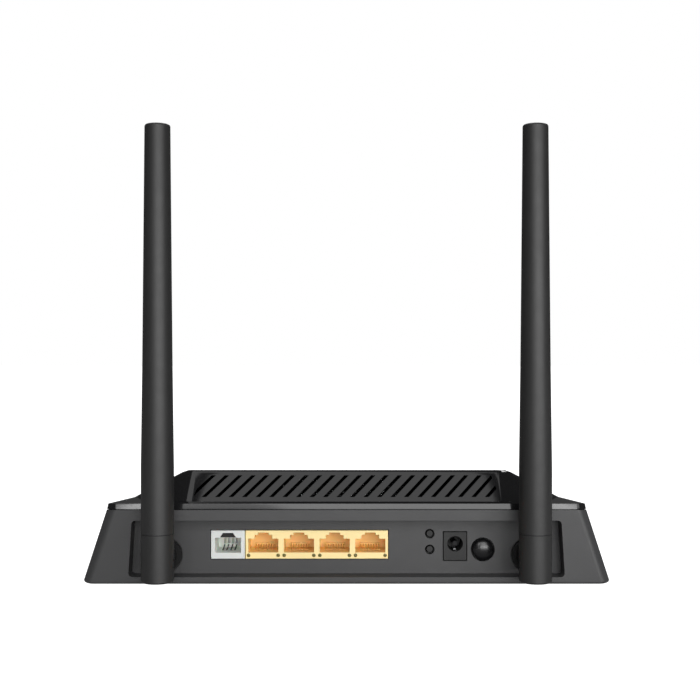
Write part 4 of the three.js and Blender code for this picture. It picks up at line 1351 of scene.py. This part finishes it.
@dataclass
class CircuitBoard:
    """The main board with its components and a scatter of small surface-mounted parts."""

    seed: int = 7
    spacing: float = 2.6
    smallest: Rgb = (0.8, 0.5, 0.35)
    largest: Rgb = (2.2, 1.5, 0.9)
    patches: tuple[tuple[float, float, float, float], ...] = ((-54, -33, 56, 106), (-12, 22, 92, 105))
    density: float = 90000.0  # most parts on a square metre
    lift: float = 0.55  # of a part's height, from the board's top to its middle
    can_steps: int = 48
    can_rounding: float = 0.5
    can_groove: float = 0.25

    def build(self) -> None:
        """Makes the boards and what stands on them."""
        for node, finish in BOARD_PARTS.items():
            refine(node, finish)
        for i in (1, 2):
            self.can(f"capacitor_{i}")
        self.small_parts()

    def can(self, node: str) -> None:
        """Makes a round can with a crimped groove near its foot.

        Args:
            node: The can's node.
        """
        low, high = (Vector(corner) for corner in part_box(node))
        radius, height = (high.x - low.x) / 2, high.z - low.z
        soft, groove = self.can_rounding * MM, self.can_groove * MM
        profile = [
            (0, 0),
            (radius, 0),
            (radius, 4 * groove),
            (radius - groove, 6 * groove),
            (radius, 8 * groove),
            (radius, height - soft),
            (radius - soft / 3, height - soft / 3),
            (radius - soft, height),
            (0, height),
        ]
        foot = Vector(((low.x + high.x) / 2, (low.y + high.y) / 2, low.z))
        place(f"{node}_finished", turned_mesh(profile, foot, self.can_steps), CHIP, [node])

    def small_parts(self) -> None:
        """Small parts strewn over the free patches of the board."""
        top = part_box("main_board")[1][2]
        corners, faces = [], []
        for left, right, rear, front in self.patches:
            start = len(corners)
            for x, depth in ((left, rear), (right, rear), (right, front), (left, front)):
                spot = datum.at(x, depth, 0)
                corners.append((spot.x, spot.y, top))
            faces.append(tuple(range(start, start + 4)))
        base = bpy.data.meshes.new("patches")
        base.from_pydata(corners, [], faces)
        recipe = Recipe("board_small_parts")
        seed = recipe.size("Seed", self.seed, Input.COUNT)
        spread = recipe.add(
            "GeometryNodeDistributePointsOnFaces",
            {
                "Mesh": recipe.points,
                "Distance Min": recipe.size("Spacing", self.spacing * MM),
                "Density Max": self.density,
                "Seed": seed,
            },
            distribute_method="POISSON",
        )
        block = recipe.add("GeometryNodeMeshCube", {"Size": (1, 1, 1)})
        raised = recipe.moved(block, Translation=(0, 0, self.lift))
        size = recipe.add("FunctionNodeRandomValue", data_type="FLOAT_VECTOR")
        recipe.link(recipe.size("Smallest", toned(self.smallest, MM), Input.PLACE), size.inputs[0])
        recipe.link(recipe.size("Largest", toned(self.largest, MM), Input.PLACE), size.inputs[1])
        recipe.link(seed, size.inputs["Seed"])
        parts = recipe.repeated(raised, spread.outputs["Points"], Scale=size)
        place("board_small_parts", recipe.run(recipe.dressed(parts, CHIP), base), CHIP)


# -------- studio


@dataclass(frozen=True)
class SoftBox:
    """A large soft light that faces a point on the object."""

    name: str
    place: Rgb
    size: tuple[float, float]
    power: float
    aim: Rgb = (0.0, 0.0, 0.04)

    def hang(self) -> None:
        """Adds the light."""
        lamp = bpy.data.lights.new(self.name, "AREA")
        lamp.shape = "RECTANGLE"
        lamp.size, lamp.size_y = self.size
        lamp.energy = self.power
        light = bpy.data.objects.new(self.name, lamp)
        light.location = self.place
        light.visible_camera = False
        ray = Vector(self.aim) - Vector(self.place)
        light.rotation_euler = ray.to_track_quat("-Z", "Y").to_euler()
        bpy.context.scene.collection.objects.link(light)


@dataclass
class Studio:
    """The table, the lights and the camera."""

    lens: float = 60.07
    sensor: float = 36.0
    nearest: float = 0.01  # metres from the camera that it sees from
    distance: float = 450.0  # from the camera to the connector side
    eye_height: float = 90.25
    eye_shift: float = 1.33
    table_size: float = 12.0  # metres
    surround: float = 0.08  # how bright the room is for everything but the camera
    lights: tuple[SoftBox, ...] = field(
        default_factory=lambda: (
            SoftBox("low_key", (0.5, -1.15, 0.15), (1.4, 0.3), 10.5),
            SoftBox("high_key", (0.5, -1.15, 0.62), (1.4, 0.5), 5),
            SoftBox("fill_box", (-0.2, -1.9, 1.0), (1.6, 0.8), 8),
            SoftBox("overhead_box", (-0.3, -0.45, 1.6), (1.6, 1.0), 6),
            SoftBox("far_box", (0.2, 1.3, 1.5), (1.4, 0.8), 16),
            SoftBox("left_glint", (-0.262, -1.0, 0.4), (0.035, 0.8), 0.7),
            SoftBox("right_glint", (0.262, -1.0, 0.4), (0.035, 0.8), 0.5),
        )
    )

    def build(self) -> None:
        """Makes the studio."""
        self.table()
        self.room()
        for light in self.lights:
            light.hang()
        self.camera()
        bpy.context.scene.view_settings.view_transform = "Standard"

    def table(self) -> None:
        """The pale table that the router stands on."""
        half = self.table_size / 2
        mesh = bpy.data.meshes.new("table")
        corners = [(-half, -half, 0), (half, -half, 0), (half, half, 0), (-half, half, 0)]
        mesh.from_pydata(corners, [], [(0, 1, 2, 3)])
        mesh.materials.append(material_of(FloorFinish()))
        table = bpy.data.objects.new("table", mesh)
        bpy.context.scene.collection.objects.link(table)

    def room(self) -> None:
        """A white room, darker for the light it gives than for the eye."""
        world = bpy.data.worlds.new("room")
        world.use_nodes = True
        bpy.context.scene.world = world
        bench = NodeBench(world.node_tree)
        seen = bench.add("ShaderNodeLightPath").outputs["Is Camera Ray"]
        inputs = {"Value": seen, "To Min": self.surround, "To Max": 1.0}
        strength = bench.add("ShaderNodeMapRange", inputs)
        background = world.node_tree.nodes["Background"]
        background.inputs["Color"].default_value = (1, 1, 1, 1)
        bench.link(strength, background.inputs["Strength"])

    def camera(self) -> None:
        """A level camera on the connector side."""
        data = bpy.data.cameras.new("camera")
        data.lens = self.lens
        data.sensor_width = self.sensor
        data.clip_start = self.nearest
        camera = bpy.data.objects.new("camera", data)
        camera.location = datum.at(self.eye_shift, -self.distance, self.eye_height)
        camera.rotation_euler = (math.pi / 2, 0, 0)
        bpy.context.scene.collection.objects.link(camera)
        bpy.context.scene.camera = camera


def main() -> None:
    """Builds the router's pieces in order, then the studio."""
    CaseShells().build()
    LanJacks().build()
    PhoneJack().build()
    PowerPanel().build()
    for side in Side:
        Antenna(side).build()
    ScrewSet("case_screws", [f"case_screw_{i + 1}" for i in range(4)], head_up=False).build()
    board_screws = [f"board_screw_{i + 1}" for i in range(3)]
    ScrewSet("board_screws", board_screws, head_up=True, head_height=1.5, thread_radius=0.18).build()
    Feet().build()
    CircuitBoard().build()
    Studio().build()


if __name__ == "__main__":
    logging.basicConfig(level=logging.INFO, format="%(message)s")
    main()
